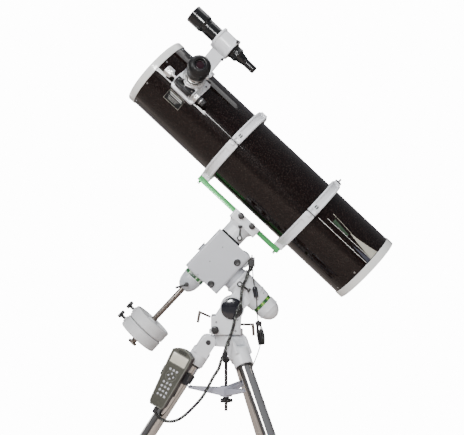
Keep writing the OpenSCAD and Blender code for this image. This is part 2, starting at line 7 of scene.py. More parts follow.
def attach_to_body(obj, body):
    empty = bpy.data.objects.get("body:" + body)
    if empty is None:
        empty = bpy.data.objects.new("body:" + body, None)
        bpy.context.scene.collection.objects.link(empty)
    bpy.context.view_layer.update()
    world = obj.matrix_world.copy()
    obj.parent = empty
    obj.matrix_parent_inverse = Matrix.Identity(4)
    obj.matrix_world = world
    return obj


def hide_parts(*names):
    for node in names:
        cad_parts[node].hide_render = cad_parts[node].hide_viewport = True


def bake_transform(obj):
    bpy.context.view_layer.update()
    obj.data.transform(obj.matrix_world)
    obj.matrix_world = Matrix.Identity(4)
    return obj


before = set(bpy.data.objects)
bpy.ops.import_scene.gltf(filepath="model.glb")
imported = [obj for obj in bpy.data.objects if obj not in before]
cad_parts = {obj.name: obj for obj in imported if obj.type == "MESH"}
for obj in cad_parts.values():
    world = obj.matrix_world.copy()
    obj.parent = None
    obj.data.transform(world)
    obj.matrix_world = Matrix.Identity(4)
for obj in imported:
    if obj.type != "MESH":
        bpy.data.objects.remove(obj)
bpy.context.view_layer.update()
MM = 0.001
TUBE_UP = 305                            # the tube's axis above the polar axis


# ---- Frames: the same ones as in part.scad, in metres ----
def rx(deg): return Matrix.Rotation(radians(deg), 4, "X")
def ry(deg): return Matrix.Rotation(radians(deg), 4, "Y")
def rz(deg): return Matrix.Rotation(radians(deg), 4, "Z")
def at(x, y, z): return Matrix.Translation((x * MM, y * MM, z * MM))


WORLD = Matrix.Identity(4)
POLAR = at(-43, 0, 943) @ ry(43.2)
AXIS = POLAR @ ry(90)                    # Z down the polar axis
TUBE = POLAR @ at(0, 0, TUBE_UP)
TUBE_Z = TUBE @ ry(90)                   # Z down the tube, to the mirror
FOCUSER = TUBE @ at(-408, 0, 0) @ rx(72)
FINDER = TUBE @ rx(25) @ at(0, 0, 225) @ ry(90)
HANDSET = at(-170, -62, 566) @ ry(27.5) @ rz(-18)
FACE = HANDSET @ rx(90)                  # X across, Y up the handset, Z out of its face
TURNS = {"a": 184, "b": -56, "c": 64}
LEG = {k: rz(t) @ at(58, 0, 674) @ ry(180 - 32.9) for k, t in TURNS.items()}
TO_X, TO_Y = ry(90), rx(-90)


# ---- Camera ----
camera = bpy.data.objects.new("camera", bpy.data.cameras.new("camera"))
bpy.context.collection.objects.link(camera)
camera.location = (0.019, -3.18, 0.968)
camera.rotation_euler = (radians(90), 0, 0)
camera.data.lens = 77.6
camera.data.sensor_width = 36
camera.data.shift_y = 0.068
bpy.context.scene.camera = camera


# ---- Materials ----
def material(name, color, rough=0.4, metal=0.0, coat=0.0, coat_rough=0.08, shade=0.12, grain=260,
             bump=0.2, depth=0.00015, stretch=(1, 1, 1), rough_shade=0.25, spec=0.5, sheen=0.0, coat_ior=1.5,
             build=None):
    m = bpy.data.materials.new(name)
    m.use_nodes = True
    nt = m.node_tree
    n, link = nt.nodes, nt.links
    p = n["Principled BSDF"]
    p.inputs["Metallic"].default_value = metal
    p.inputs["Coat Weight"].default_value = coat
    p.inputs["Coat Roughness"].default_value = coat_rough
    p.inputs["Coat IOR"].default_value = coat_ior
    p.inputs["Specular IOR Level"].default_value = spec
    p.inputs["Sheen Weight"].default_value = sheen
    where = n.new("ShaderNodeTexCoord")
    mapping = n.new("ShaderNodeMapping")
    mapping.inputs["Scale"].default_value = stretch
    link.new(where.outputs["Object"], mapping.inputs["Vector"])
    fine = n.new("ShaderNodeTexNoise")
    fine.inputs["Scale"].default_value = grain
    fine.inputs["Detail"].default_value = 5
    link.new(mapping.outputs[0], fine.inputs["Vector"])
    broad = n.new("ShaderNodeTexNoise")
    broad.inputs["Scale"].default_value = 14
    broad.inputs["Detail"].default_value = 3
    link.new(where.outputs["Object"], broad.inputs["Vector"])
    both = n.new("ShaderNodeMath")
    both.operation = "MULTIPLY_ADD"
    both.inputs[1].default_value = 0.5
    link.new(fine.outputs["Fac"], both.inputs[0])
    half = n.new("ShaderNodeMath")
    half.operation = "MULTIPLY"
    half.inputs[1].default_value = 0.5
    link.new(broad.outputs["Fac"], half.inputs[0])
    link.new(half.outputs[0], both.inputs[2])
    ramp = n.new("ShaderNodeValToRGB")
    ramp.color_ramp.elements[0].position = 0.34
    ramp.color_ramp.elements[1].position = 0.66
    ramp.color_ramp.elements[0].color = [c * (1 - shade) for c in color] + [1]
    ramp.color_ramp.elements[1].color = [min(1, c * (1 + shade)) for c in color] + [1]
    link.new(both.outputs[0], ramp.inputs["Fac"])
    out = ramp.outputs["Color"]
    if build:
        out = build(n, link, where, out)
    link.new(out, p.inputs["Base Color"])
    spread = n.new("ShaderNodeMapRange")
    spread.inputs["From Min"].default_value = 0.3
    spread.inputs["From Max"].default_value = 0.7
    spread.inputs["To Min"].default_value = rough * (1 - rough_shade)
    spread.inputs["To Max"].default_value = min(1, rough * (1 + rough_shade))
    link.new(fine.outputs["Fac"], spread.inputs["Value"])
    link.new(spread.outputs[0], p.inputs["Roughness"])
    if bump:
        b = n.new("ShaderNodeBump")
        b.inputs["Strength"].default_value = bump
        b.inputs["Distance"].default_value = depth
        link.new(fine.outputs["Fac"], b.inputs["Height"])
        link.new(b.outputs["Normal"], p.inputs["Normal"])
    return m


def mixed(n, link, fac, a, b):
    mix = n.new("ShaderNodeMix")
    mix.data_type = "RGBA"
    link.new(fac, mix.inputs[0])
    if isinstance(a, tuple):
        mix.inputs[6].default_value = (*a, 1)
    else:
        link.new(a, mix.inputs[6])
    if isinstance(b, tuple):
        mix.inputs[7].default_value = (*b, 1)
    else:
        link.new(b, mix.inputs[7])
    return mix.outputs[2]


def compare(n, link, value, above):
    """1 where value is above that."""
    node = n.new("ShaderNodeMath")
    node.operation = "GREATER_THAN"
    node.inputs[1].default_value = above
    link.new(value, node.inputs[0])
    return node.outputs[0]


def sparkle(n, link, where, base):
    """Small maroon, gold and grey flakes in the paint."""
    cells = n.new("ShaderNodeTexVoronoi")
    cells.inputs["Scale"].default_value = 900
    link.new(where.outputs["Object"], cells.inputs["Vector"])
    split_shade = n.new("ShaderNodeSeparateColor")
    link.new(cells.outputs["Color"], split_shade.inputs[0])
    out = mixed(n, link, compare(n, link, split_shade.outputs[0], 0.72), base, (0.0075, 0.0026, 0.0022))
    out = mixed(n, link, compare(n, link, split_shade.outputs[1], 0.90), out, (0.019, 0.010, 0.008))
    return mixed(n, link, compare(n, link, split_shade.outputs[2], 0.95), out, (0.042, 0.034, 0.030))


def flecks(n, link, where, base):
    """Pale specks in a braided sleeve."""
    cells = n.new("ShaderNodeTexVoronoi")
    cells.inputs["Scale"].default_value = 420
    link.new(where.outputs["Object"], cells.inputs["Vector"])
    split_shade = n.new("ShaderNodeSeparateColor")
    link.new(cells.outputs["Color"], split_shade.inputs[0])
    return mixed(n, link, compare(n, link, split_shade.outputs[0], 0.87), base, (0.34, 0.37, 0.34))


def segments(count, colors):
    """Colours in turn round the piece's own Z axis."""
    def build(n, link, where, base):
        split_shade = n.new("ShaderNodeSeparateXYZ")
        link.new(where.outputs["Object"], split_shade.inputs[0])
        turn = n.new("ShaderNodeMath")
        turn.operation = "ARCTAN2"
        link.new(split_shade.outputs["Y"], turn.inputs[0])
        link.new(split_shade.outputs["X"], turn.inputs[1])
        scale = n.new("ShaderNodeMath")
        scale.operation = "MULTIPLY"
        scale.inputs[1].default_value = count / (2 * pi)
        link.new(turn.outputs[0], scale.inputs[0])
        part = n.new("ShaderNodeMath")
        part.operation = "FRACT"
        link.new(scale.outputs[0], part.inputs[0])
        ramp = n.new("ShaderNodeValToRGB")
        ramp.color_ramp.interpolation = "CONSTANT"
        while len(ramp.color_ramp.elements) < len(colors):
            ramp.color_ramp.elements.new(1)
        for e, (place, c) in zip(ramp.color_ramp.elements, colors):
            e.position = place
            e.color = (*c, 1)
        link.new(part.outputs[0], ramp.inputs["Fac"])
        return ramp.outputs["Color"]
    return build


WHITE = material("white_paint", (0.78, 0.80, 0.83), 0.34, coat=0.35, coat_rough=0.2, shade=0.025, grain=700,
                 bump=0.12)
GLOSS_WHITE = material("white_gloss", (0.80, 0.81, 0.79), 0.22, coat=0.7, shade=0.02, grain=300, bump=0.05)
GREY = material("grey_paint", (0.50, 0.52, 0.56), 0.36, coat=0.3, coat_rough=0.2, shade=0.04, grain=700, bump=0.14)
WEIGHT = material("weight_paint", (0.60, 0.61, 0.62), 0.42, coat=0.2, coat_rough=0.25, shade=0.05, grain=420,
                  bump=0.35,
                  depth=0.0003)
TUBE_BLACK = material("tube_paint", (0.0022, 0.0011, 0.0010), 0.30, coat=1.0, coat_rough=0.03, shade=0.3, grain=500,
                      bump=0.01, spec=0.03, coat_ior=1.34, build=sparkle)
MATT_BLACK = material("matt_black", (0.010, 0.010, 0.010), 0.85, shade=0.2, bump=0.3, spec=0.2)
BLACK = material("black_plastic", (0.014, 0.014, 0.015), 0.38, shade=0.2, grain=900, bump=0.2)
GLOSS_BLACK = material("black_gloss", (0.010, 0.011, 0.016), 0.14, coat=0.8, shade=0.2, grain=400, bump=0.03)
RUBBER = material("black_rubber", (0.020, 0.020, 0.021), 0.62, shade=0.2, grain=1200, bump=0.35, sheen=0.15)
CHROME = material("leg_chrome", (0.64, 0.62, 0.59), 0.07, 1.0, shade=0.04, grain=60, bump=0.05, stretch=(40, 40, 1.5),
                  rough_shade=0.5)
STEEL = material("steel", (0.62, 0.63, 0.64), 0.26, 1.0, shade=0.06, grain=400, bump=0.08)
DARK_STEEL = material("dark_steel", (0.10, 0.10, 0.105), 0.30, 1.0, shade=0.15, grain=500, bump=0.12)
STAINLESS = material("stainless", (0.66, 0.66, 0.66), 0.24, 1.0, shade=0.05, grain=120, bump=0.06, stretch=(20, 20,
    1))
SILVER = material("satin_silver", (0.80, 0.80, 0.80), 0.28, 1.0, shade=0.03, grain=600, bump=0.06)
GREEN = material("green_anodised", (0.075, 0.42, 0.125), 0.36, 0.30, coat=0.25, shade=0.08, grain=90, bump=0.08,
                 stretch=(1, 12, 12))
MIRROR = material("mirror", (0.90, 0.91, 0.92), 0.02, 1.0, shade=0.01, grain=60, bump=0)
GLASS_EDGE = material("glass_edge", (0.30, 0.38, 0.36), 0.35, shade=0.08, grain=300, bump=0.1)
LENS = material("coated_lens", (0.016, 0.004, 0.008), 0.05, coat=0.5, coat_rough=0.02, shade=0.3, grain=30, bump=0)
HANDSET_GREY = material("handset_shell", (0.056, 0.056, 0.043), 0.40, shade=0.12, grain=1400, bump=0.3)
HANDSET_DARK = material("handset_side", (0.014, 0.007, 0.008), 0.36, shade=0.2, grain=900, bump=0.2)
RIM = material("handset_rim", (0.13, 0.132, 0.115), 0.34, shade=0.08, grain=900, bump=0.15)
SCREEN = material("screen", (0.62, 0.60, 0.50), 0.22, coat=0.8, shade=0.05, grain=500, bump=0.02)
KEY = material("keys", (0.50, 0.51, 0.56), 0.45, shade=0.08, grain=900, bump=0.15)
BROWN_STEEL = material("shaft_steel", (0.20, 0.175, 0.155), 0.28, 1.0, shade=0.08, grain=200, bump=0.06)
CORD = material("cord_sleeve", (0.012, 0.012, 0.012), 0.55, shade=0.3, grain=900, bump=0.4, build=flecks)
LEAD = material("thin_lead", (0.012, 0.012, 0.013), 0.42, shade=0.2, grain=900, bump=0.15)
# The RA dial's colours turn nine times round: dark green, bright green, a pale yellow band that is a painted
# highlight, then bright green.
RA_DIAL_WITH_PAINTED_HIGHLIGHT = material("ra_dial_with_painted_highlight", (0.05, 0.20, 0.05), 0.35, coat=0.3, shade=0.05, build=segments(
    9, [(0, (0.020, 0.10, 0.025)), (0.40, (0.10, 0.36, 0.05)), (0.62, (0.50, 0.68, 0.12)), (0.78, (0.10, 0.36,
        0.05))]))
DEC_DIAL = material("dec_dial", (0.05, 0.20, 0.05), 0.35, coat=0.3, shade=0.05, build=segments(
    3, [(0, (0.012, 0.05, 0.022)), (0.34, (0.45, 0.62, 0.42)), (0.40, (0.03, 0.14, 0.04)), (0.56, (0.76, 0.80, 0.73)),
        (0.64, (0.02, 0.11, 0.035)), (0.92, (0.45, 0.62, 0.42))]))
EYE_BLACK = material("eyecup_black", (0.007, 0.007, 0.0075), 0.34, shade=0.2, grain=900, bump=0.12, spec=0.35)
FINDER_BLACK = material("finder_gloss", (0.006, 0.0065, 0.0075), 0.2, coat=0.5, coat_rough=0.04, shade=0.2, grain=400,
                        bump=0, spec=0.3)
LAVENDER = material("spreader_paint", (0.40, 0.41, 0.49), 0.38, coat=0.2, coat_rough=0.2, shade=0.04, grain=700,
                    bump=0.14)
LINING = material("mount_screw", (0.17, 0.15, 0.135), 0.36, 0.9, shade=0.12, grain=300, bump=0.15)
# White for printed bars, and for a highlight painted along the tube as a thin line.
WHITE_PRINT_AND_HIGHLIGHT = material("white_print_and_painted_highlight", (0.72, 0.73, 0.70), 0.30, coat=0.8, shade=0.03, bump=0.05)
STRIPE_CREAM = material("stripe_cream", (0.42, 0.41, 0.34), 0.30, coat=0.8, shade=0.04, bump=0.05)
STRIPE_GREEN = material("stripe_green", (0.020, 0.045, 0.022), 0.30, coat=0.8, shade=0.2, bump=0.05)
STRIPE_SLATE = material("stripe_slate", (0.035, 0.038, 0.055), 0.30, coat=0.8, shade=0.1, bump=0.05)


# ---- Mesh tools: solids are (points in mm, faces) ----
def loft(rings, closed=True, caps=True):
    """Joins rings of equal count. closed joins each ring's ends."""
    v, f, k = [p for r in rings for p in r], [], len(rings[0])
    for i in range(len(rings) - 1):
        for j in range(k if closed else k - 1):
            a, b = i * k + j, i * k + (j + 1) % k
            f.append((a, b, b + k, a + k))
    if caps:
        f.append(tuple(range(k - 1, -1, -1)))
        f.append(tuple((len(rings) - 1) * k + j for j in range(k)))
    return v, f


def lathe(profile, n=72, shape=None, loop=False):
    """Turns (radius, z) points round Z. shape(angle, r, z) gives a radius that varies."""
    v, f, rings = [], [], []
    for r, z in profile:
        if r < 1e-6:
            rings.append([len(v)])
            v.append((0, 0, z))
            continue
        rings.append(list(range(len(v), len(v) + n)))
        for k in range(n):
            a = 2 * pi * k / n
            q = shape(a, r, z) if shape else r
            v.append((q * cos(a), q * sin(a), z))
    pairs = list(zip(rings, rings[1:])) + ([(rings[-1], rings[0])] if loop else [])
    for lo, hi in pairs:
        for k in range(n):
            a, b = lo[k % len(lo)], lo[(k + 1) % len(lo)]
            c, d = hi[(k + 1) % len(hi)], hi[k % len(hi)]
            ring = [p for i, p in enumerate((a, b, c, d)) if p not in (a, b, c, d)[:i]]
            if len(ring) > 2:
                f.append(tuple(ring))
    return v, f


def fillet(points, r, steps=3):
    """Rounds every inner corner of a line of (radius, z) points."""
    out = [tuple(points[0])]
    for a, b, c in zip(points, points[1:], points[2:]):
        a, b, c = Vector(a), Vector(b), Vector(c)
        d = min(r, (a - b).length * 0.45, (c - b).length * 0.45)
        p, q = b + (a - b).normalized() * d, b + (c - b).normalized() * d
        out += [tuple((1 - t) ** 2 * p + 2 * t * (1 - t) * b + t * t * q) for t in [i / steps for i in range(steps
            + 1)]]
    return out + [tuple(points[-1])]


def turned(points, r=1.0, n=72, shape=None):
    return lathe(fillet(points, r), n, shape, loop=points[0][0] > 0 and points[-1][0] > 0)


def hexagon(a, r, z):
    return r * cos(pi / 6) / cos((a + pi / 6) % (pi / 3) - pi / 6)


def box(a, b):
    v = [(x, y, z) for z in (a[2], b[2]) for x, y in ((a[0], a[1]), (b[0], a[1]), (b[0], b[1]), (a[0], b[1]))]
    return v, [(3, 2, 1, 0), (4, 5, 6, 7), (0, 1, 5, 4), (1, 2, 6, 5), (2, 3, 7, 6), (3, 0, 4, 7)]


def prism(points, z0, z1):
    return loft([[(x, y, z0) for x, y in points], [(x, y, z1) for x, y in points]])


def moved(solid, m):
    s = Matrix.Translation(m.translation / MM) @ m.to_3x3().to_4x4()
    return [tuple(s @ Vector(p)) for p in solid[0]], solid[1]


def joined(*solids):
    v, f = [], []
    for s in solids:
        f += [tuple(i + len(v) for i in face) for face in s[1]]
        v += s[0]
    return v, f


def lobed(r, h, lobes, depth=0.3, n=120):
    """A moulded knob with lobes, its edges rounded."""
    def shape(a, q, z):
        return q * (1 - depth * (0.5 - 0.5 * cos(lobes * a)) * min(1, q / (0.9 * r)))
    return lathe([(0, 0), (0.5 * r, 0), (0.86 * r, 0.5), (0.96 * r, 1.8), (r, 3.6), (r, h - 3.6), (0.96 * r, h - 1.6),
                  (0.87 * r, h - 0.5), (0.62 * r, h), (0.45 * r, h), (0.41 * r, h - 0.9), (0, h - 0.9)], n, shape)


def knurled(r, z0, z1, ribs, deep=0.5, edge=1.2, hole=0.0):
    """A round knob with ribs along it."""
    n = ribs * 6
    def shape(a, q, z):
        return q - (deep * (0.5 - 0.5 * cos(ribs * a)) if q > r - 0.01 else 0)
    side = [(r, z0 + edge), (r, z1 - edge)]
    ends = [(0, z0), (r - edge, z0), (r - 0.3, z0 + edge * 0.5)]
    tops = [(r - 0.3, z1 - edge * 0.5), (r - edge, z1), (max(hole, 0.45 * r), z1), (0.4 * r, z1 - 0.7), (0, z1 - 0.7)]
    return lathe(ends + side + tops, n, shape)


def socket_screw(r, h):
    def shape(a, q, z):
        return hexagon(a, q, z) if q < 0.6 * r else q
    return lathe([(0, -0.6), (r, -0.6), (r, h - 0.35), (r - 0.35, h), (0.58 * r, h), (0.55 * r, h - 0.3),
                  (0.55 * r, h - 0.7 * r), (0, h - 0.75 * r)], 36, shape)


def hex_head(r, h, washer=0.0):
    head = lathe([(0, 0), (r, 0), (r, h - 0.8), (r - 0.8, h), (0, h)], 36, hexagon)
    return joined(moved(turned([(0, 0), (washer, 0), (washer, 1.2), (0, 1.2)], 0.4, 36), WORLD),
                  moved(head, at(0, 0, 1.1))) if washer else head


def rod(r, z0, z1, n=40, edge=0.8):
    return turned([(0, z0), (r, z0), (r, z1), (0, z1)], edge, n)


def threaded(r, z0, z1, pitch=1.5):
    count = max(4, int((z1 - z0) / pitch))
    pts = [(0, z0)]
    for i in range(count):
        z = z0 + (z1 - z0) * i / count
        pts += [(r - 0.5, z), (r, z + 0.5 * (z1 - z0) / count)]
    return lathe(pts + [(r - 0.5, z1), (0, z1)], 28)


def wrap(xs, lo, hi, r0, r1, steps=8):
    """A thin strip round the tube, from lo(x) to hi(x) degrees above the level on the camera's side."""
    rings = []
    for x in xs:
        a = [radians(lo(x) + (hi(x) - lo(x)) * i / steps) for i in range(steps + 1)]
        rings.append([(x, -r1 * cos(t), r1 * sin(t)) for t in a] + [(x, -r0 * cos(t), r0 * sin(t)) for t in a[::-1]])
    return loft(rings)


def spline(points, steps):
    out, last = [], len(points) - 1
    for i in range(last):
        p = [Vector(points[max(0, min(last, j))]) for j in (i - 1, i, i + 1, i + 2)]
        for s in range(steps):
            t = s / steps
            out.append(0.5 * (2 * p[1] + (p[2] - p[0]) * t + (2 * p[0] - 5 * p[1] + 4 * p[2] - p[3]) * t * t
                              + (3 * p[1] - p[0] - 3 * p[2] + p[3]) * t ** 3))
    return out + [Vector(points[-1])]


def even(line, step):
    """The same line with points a step apart."""
    out, left = [line[0]], step
    for a, b in zip(line, line[1:]):
        d = (b - a).length
        while d > left:
            a = a + (b - a) * (left / d)
            out.append(a.copy())
            d, left = (b - a).length, step
        left -= d
    if (out[-1] - line[-1]).length > 0.3 * step:
        out.append(line[-1])
    else:
        out[-1] = line[-1]
    return out


def sweep(line, radius, n=14):
    """A tube along a line. radius(i, angle) is in mm."""
    rings, up = [], Vector((0, 1, 0.2))
    for i, p in enumerate(line):
        t = (line[min(i + 1, len(line) - 1)] - line[max(i - 1, 0)]).normalized()
        a = (up - t * up.dot(t)).normalized()
        up, b = a, t.cross(a)
        rings.append([tuple(p + radius(i, 2 * pi * k / n) * (a * cos(2 * pi * k / n) + b * sin(2 * pi * k / n)))
                      for k in range(n)])
    return loft(rings)


def weld(mesh, distance=1e-6):
    b = bmesh.new()
    b.from_mesh(mesh)
    bmesh.ops.remove_doubles(b, verts=b.verts, dist=distance)
    bmesh.ops.recalc_face_normals(b, faces=b.faces)
    b.to_mesh(mesh)
    b.free()


def put(name, mesh, mat, place, body):
    for m in (mat if isinstance(mat, list) else [mat]):
        mesh.materials.append(m)
    o = bpy.data.objects.new(name, mesh)
    bpy.context.collection.objects.link(o)
    o.matrix_world = place
    if body:
        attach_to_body(o, body)
    return o


def applied(o, *mods):
    """Adds the modifiers, each (type, settings), and applies them."""
    for kind, settings in mods:
        m = o.modifiers.new(kind.lower(), kind)
        for key, value in settings.items():
            setattr(m, key, value)
    mesh = bpy.data.meshes.new_from_object(o.evaluated_get(bpy.context.evaluated_depsgraph_get()))
    o.modifiers.clear()
    o.data = mesh
    return o


def shade(o, angle=35):
    o.data.polygons.foreach_set("use_smooth", [True] * len(o.data.polygons))
    if angle < 180:
        o.data.set_sharp_from_angle(angle=radians(angle))
    o.data.update()
    return o


def made(name, solid, mat, place, body, nodes=(), slot=None, angle=35, bevel=0.0):
    """A piece from a solid in mm."""
    mesh = bpy.data.meshes.new(name)
    mesh.from_pydata([(x * MM, y * MM, z * MM) for x, y, z in solid[0]], [], solid[1])
    weld(mesh)
    o = put(name, mesh, mat, place, None)
    if bevel:
        applied(o, ("BEVEL", {"width": bevel * MM, "segments": 2, "limit_method": "ANGLE",
                              "angle_limit": radians(40)}))
    shade(o, angle)
    if body:
        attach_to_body(o, body)
    if nodes:
        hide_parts(*nodes)
    return o


def attach(place, body):
    """made() for the pieces that share a place and a body."""
    def piece(name, solid, mat, nodes=(), **options):
        return made(name, solid, mat, place, body, nodes, **options)
    return piece


on_base = attach(WORLD, "base")
by_dec = attach(WORLD, "dec_body")
on_spreader = attach(WORLD, "spreader")
on_ra_ring = attach(AXIS, "ra_ring")
on_dec = attach(POLAR, "dec_body")
on_saddle = attach(POLAR, "saddle")
along_tube = attach(TUBE_Z, "tube")
on_tube = attach(TUBE, "tube")
on_focuser = attach(FOCUSER, "tube")
on_finder = attach(FINDER, "tube")
on_handset = attach(FACE, "leg_a")
on_rings = attach(POLAR, "rings")


def loose(mesh):
    """The sets of points that faces join."""
    parent = list(range(len(mesh.vertices)))
    def find(i):
        while parent[i] != i:
            parent[i] = parent[parent[i]]
            i = parent[i]
        return i
    for e in mesh.edges:
        parent[find(e.vertices[0])] = find(e.vertices[1])
    out = {}
    for i in range(len(parent)):
        out.setdefault(find(i), []).append(i)
    return list(out.values())


def copied(node, place, keep=None):
    """A CAD node's mesh in the place's own frame. keep(centre in mm) picks among its solids."""
    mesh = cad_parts[node].data.copy()
    mesh.materials.clear()
    mesh.transform(place.inverted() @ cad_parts[node].matrix_world)
    weld(mesh)
    if keep:
        drop = set()
        for group in loose(mesh):
            mid = sum((mesh.vertices[i].co for i in group), Vector()) / len(group)
            if not keep(mid / MM):
                drop.update(group)
        b = bmesh.new()
        b.from_mesh(mesh)
        b.verts.ensure_lookup_table()
        bmesh.ops.delete(b, geom=[b.verts[i] for i in drop], context="VERTS")
        b.to_mesh(mesh)
        b.free()
    return mesh


def cast(name, node, mat, place, body, voxel=1.3, relax=4, keep=None, add=None, cut=None, nodes=None,
         lean=0.4):
    """A CAD node as a casting: the same shape, with more added or cut away, its edges rounded."""
    mesh = copied(node, place, keep)
    if add:
        b = bmesh.new()
        b.from_mesh(mesh)
        extra = bpy.data.meshes.new("extra")
        extra.from_pydata([(x * MM, y * MM, z * MM) for x, y, z in add[0]], [], add[1])
        weld(extra)
        b.from_mesh(extra)
        b.to_mesh(mesh)
        b.free()
    o = put(name, mesh, mat, place, None)
    applied(o, ("REMESH", {"mode": "VOXEL", "voxel_size": voxel * MM, "use_smooth_shade": True}))
    if cut:
        knife = made(name + "_cut", cut, mat, place, None)
        applied(o, ("BOOLEAN", {"object": knife, "operation": "DIFFERENCE", "solver": "EXACT"}))
        bpy.data.objects.remove(knife)
        applied(o, ("REMESH", {"mode": "VOXEL", "voxel_size": voxel * MM, "use_smooth_shade": True}))
    applied(o, ("SMOOTH", {"factor": 0.5, "iterations": relax}),
            ("DECIMATE", {"decimate_type": "COLLAPSE", "ratio": lean}))
    o.data.materials.clear()
    o.data.materials.append(mat)
    shade(o, 180)
    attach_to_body(o, body)
    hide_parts(*(nodes or [node]))
    return o


def crisp(name, node, mats, place, body, bevel=0.5, pick=None, angle=30, keep=None):
    """A CAD node with its edges bevelled. pick(centre in mm, normal) gives a face's material."""
    o = put(name, copied(node, place, keep), mats, place, None)
    if bevel:
        applied(o, ("DECIMATE", {"decimate_type": "DISSOLVE", "angle_limit": radians(1)}),
                ("BEVEL", {"width": bevel * MM, "segments": 2, "limit_method": "ANGLE", "angle_limit": radians(40)}))
    if pick:
        for p in o.data.polygons:
            p.material_index = pick(p.center / MM, p.normal)
    shade(o, angle)
    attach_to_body(o, body)
    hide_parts(node)
    return o


def screws(name, body, place, spots, r=2.2, h=1.6, mat=None, turn=WORLD):
    """Socket screws at the spots, their heads along the place's Z after the turn."""
    head = moved(socket_screw(r, h), turn)
    return made(name, joined(*[moved(head, at(*p)) for p in spots]), mat or DARK_STEEL, place, body)


# ---- Cords ----
handset_route = [
    (75.7, -28.9, 907.2), (70, -46, 892), (62, -62, 873), (54, -70, 856), (49, -74, 834),
    (45, -78, 798), (31, -81, 762), (22, -84, 724), (12, -96, 694), (2, -100, 670),
    (-8, -100, 640), (-16, -97, 620), (-23, -92, 597), (-38, -87, 574), (-54, -82, 543),
    (-74, -77, 508), (-104, -73, 474), (-132, -70, 448), (-157, -68, 434), (-184, -67, 432),
    (-206, -66, 442), (-219, -64, 458), (-217, -63, 474)]
power_route = [(84, -24, 909), (84, -34, 900), (85, -48, 881), (87, -58, 862), (88.8, -61, 853.5)]
power_route_mid = [(95.2, -62, 814.4), (96, -62, 798), (97, -61, 782), (98, -60, 764), (99, -58, 752)]
power_route_tail = [(110, -43, 692), (110, -43, 680), (107, -39, 664), (100, -32, 640), (92, -25, 618),
                    (84, -20, 598), (80.2, -18, 583)]


def reach(line):
    return sum((b - a).length for a, b in zip(line, line[1:])) * MM


def cord_piece(name, line, d, mat, nodes, bodies, ribs=0.0, sides=14):
    """A cord along a line in mm: on one body, or with no body and its place baked into the mesh when given two."""
    gap = reach(line) / MM / (len(line) - 1)
    def radius(i, a):
        return d / 2 * (1 - ribs * (0.5 - 0.5 * cos(a - 2 * pi * i * gap / 4.5)))
    o = made(name, sweep(line, radius, sides), mat, WORLD, bodies[0] if len(bodies) == 1 else None, nodes, angle=60)
    if len(bodies) == 2:
        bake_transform(o)
    return o


def split_line(route, cuts, steps, step):
    """The route as separate lines that meet at the route's points cuts."""
    line = spline(route, steps)
    return [even(line[a * steps:b * steps + 1], step) for a, b in zip(cuts, cuts[1:])]


wrapped = split_line(handset_route, [0, 5, 8, 13, 22], 12, 0.75)
crossings = [("dec_body", "polar_head"), ("polar_head", "base"), ("base", "tripod"), ("tripod", "leg_a")]
for number, (line, pair) in enumerate(zip(wrapped, crossings), 1):
    cord_piece(f"handset_cord_{number}", line, 11, CORD, ["handset_cord"], pair, 0.24, sides=16)

upper = split_line(power_route, [0, 2, 4], 8, 1.2)
cord_piece("power_cord_1", upper[0], 3.5, LEAD, ["power_cord"], ("dec_body", "polar_head"))
cord_piece("power_cord_2", upper[1], 3.5, LEAD, ["power_cord"], ("polar_head", "base"))
on_base("power_bead", moved(turned([(0, 0), (2.4, 0), (3.2, 1), (7.6, 4), (8, 7), (8, 31), (7.6, 34), (3.2, 37),
                                    (2.4, 38),
                                 (0, 38)], 1.2, 40), at(89, -61, 852) @ ry(171)), GLOSS_BLACK,
     ["power_plug"])
cord_piece("power_cord_3", even(spline(power_route_mid, 8), 1.2), 3.5, LEAD, ["power_cord"],
           ["base"])

HANK = at(100, -58, 750) @ ry(172)


def hank_line():
    """Long turns of the lead side by side, twisted half a turn, narrow at the tie and wide at the bottom."""
    out, turns, per = [Vector((0.8, 0, -1)), Vector((0.6, -1.5, 2))], 8, 40
    for i in range(turns * per + 1):
        a = 2 * pi * i / per + pi / 2
        z = 44 - 37 * sin(a)
        layer = (i / per) % 4
        outer = i / per < 4
        half = (7.2 if outer else 3.0) * (0.80 + 0.55 * (z / 88) ** 1.5)
        x = half * cos(a) * (1 + 0.3 * (1 - abs(sin(a)) ** 6))
        y = (-5.7 + 3.8 * layer if outer else 5.7 - 3.8 * layer) * (0.8 + 0.35 * z / 88)
        twist = radians(-35 + 115 * z / 88)
        out.append(Vector((x * cos(twist) - y * sin(twist), x * sin(twist) + y * cos(twist), z)))
    out += [out[-1] + Vector((1.5, 3.5, 12)), Vector((6, 7.5, 40)), Vector((8.5, 7.5, 56))]
    m = Matrix.Translation(HANK.translation / MM) @ HANK.to_3x3().to_4x4()
    line = [m @ p for p in out]
    return even(spline(line, 3), 1.2)


hank = hank_line()
cord_piece("power_hank_strands", hank, 3.5, LEAD, ["power_hank"], ["base"])
for number, (z, r) in enumerate(((9, 9.6), (34, 9.4)), 1):
    made(f"power_hank_tie_{number}", turned([(r - 1.4, z), (r, z - 0.4), (r + 0.5, z + 1), (r + 0.5, z + 9),
                                             (r, z + 10.4), (r - 1.4, z + 10)], 0.6, 48), RUBBER, HANK, "base")
tail = even(spline([tuple(hank[-1])] + power_route_tail[1:], 8), 1.2)
plug = on_base("power_plug_tip", moved(turned(
    [(0, 0), (3.6, 0), (4.6, 1.5), (5.2, 6), (7.4, 8), (8, 10), (8, 33), (7.2, 35), (3.4, 35), (3.2, 39.5), (0, 40)],
    0.8, 48, lambda a, r, z: r - (0.35 * (0.5 - 0.5 * cos(16 * a)) if 9 < z < 34 and r > 7.5 else 0)),
    at(80, -18, 582) @ rx(180)), BLACK, ["power_plug"])
cord_piece("power_cord_4", tail, 3.5, LEAD, ["power_cord"], ["base"])
by_dec("cord_collar", joined(moved(turned([(5.3, 0), (8.2, 0), (8.0, 6), (6.4, 18), (5.2, 20)], 0.6, 32), at(80,
    -19, 915)
     @ ry(196) @ rx(40))), RUBBER)

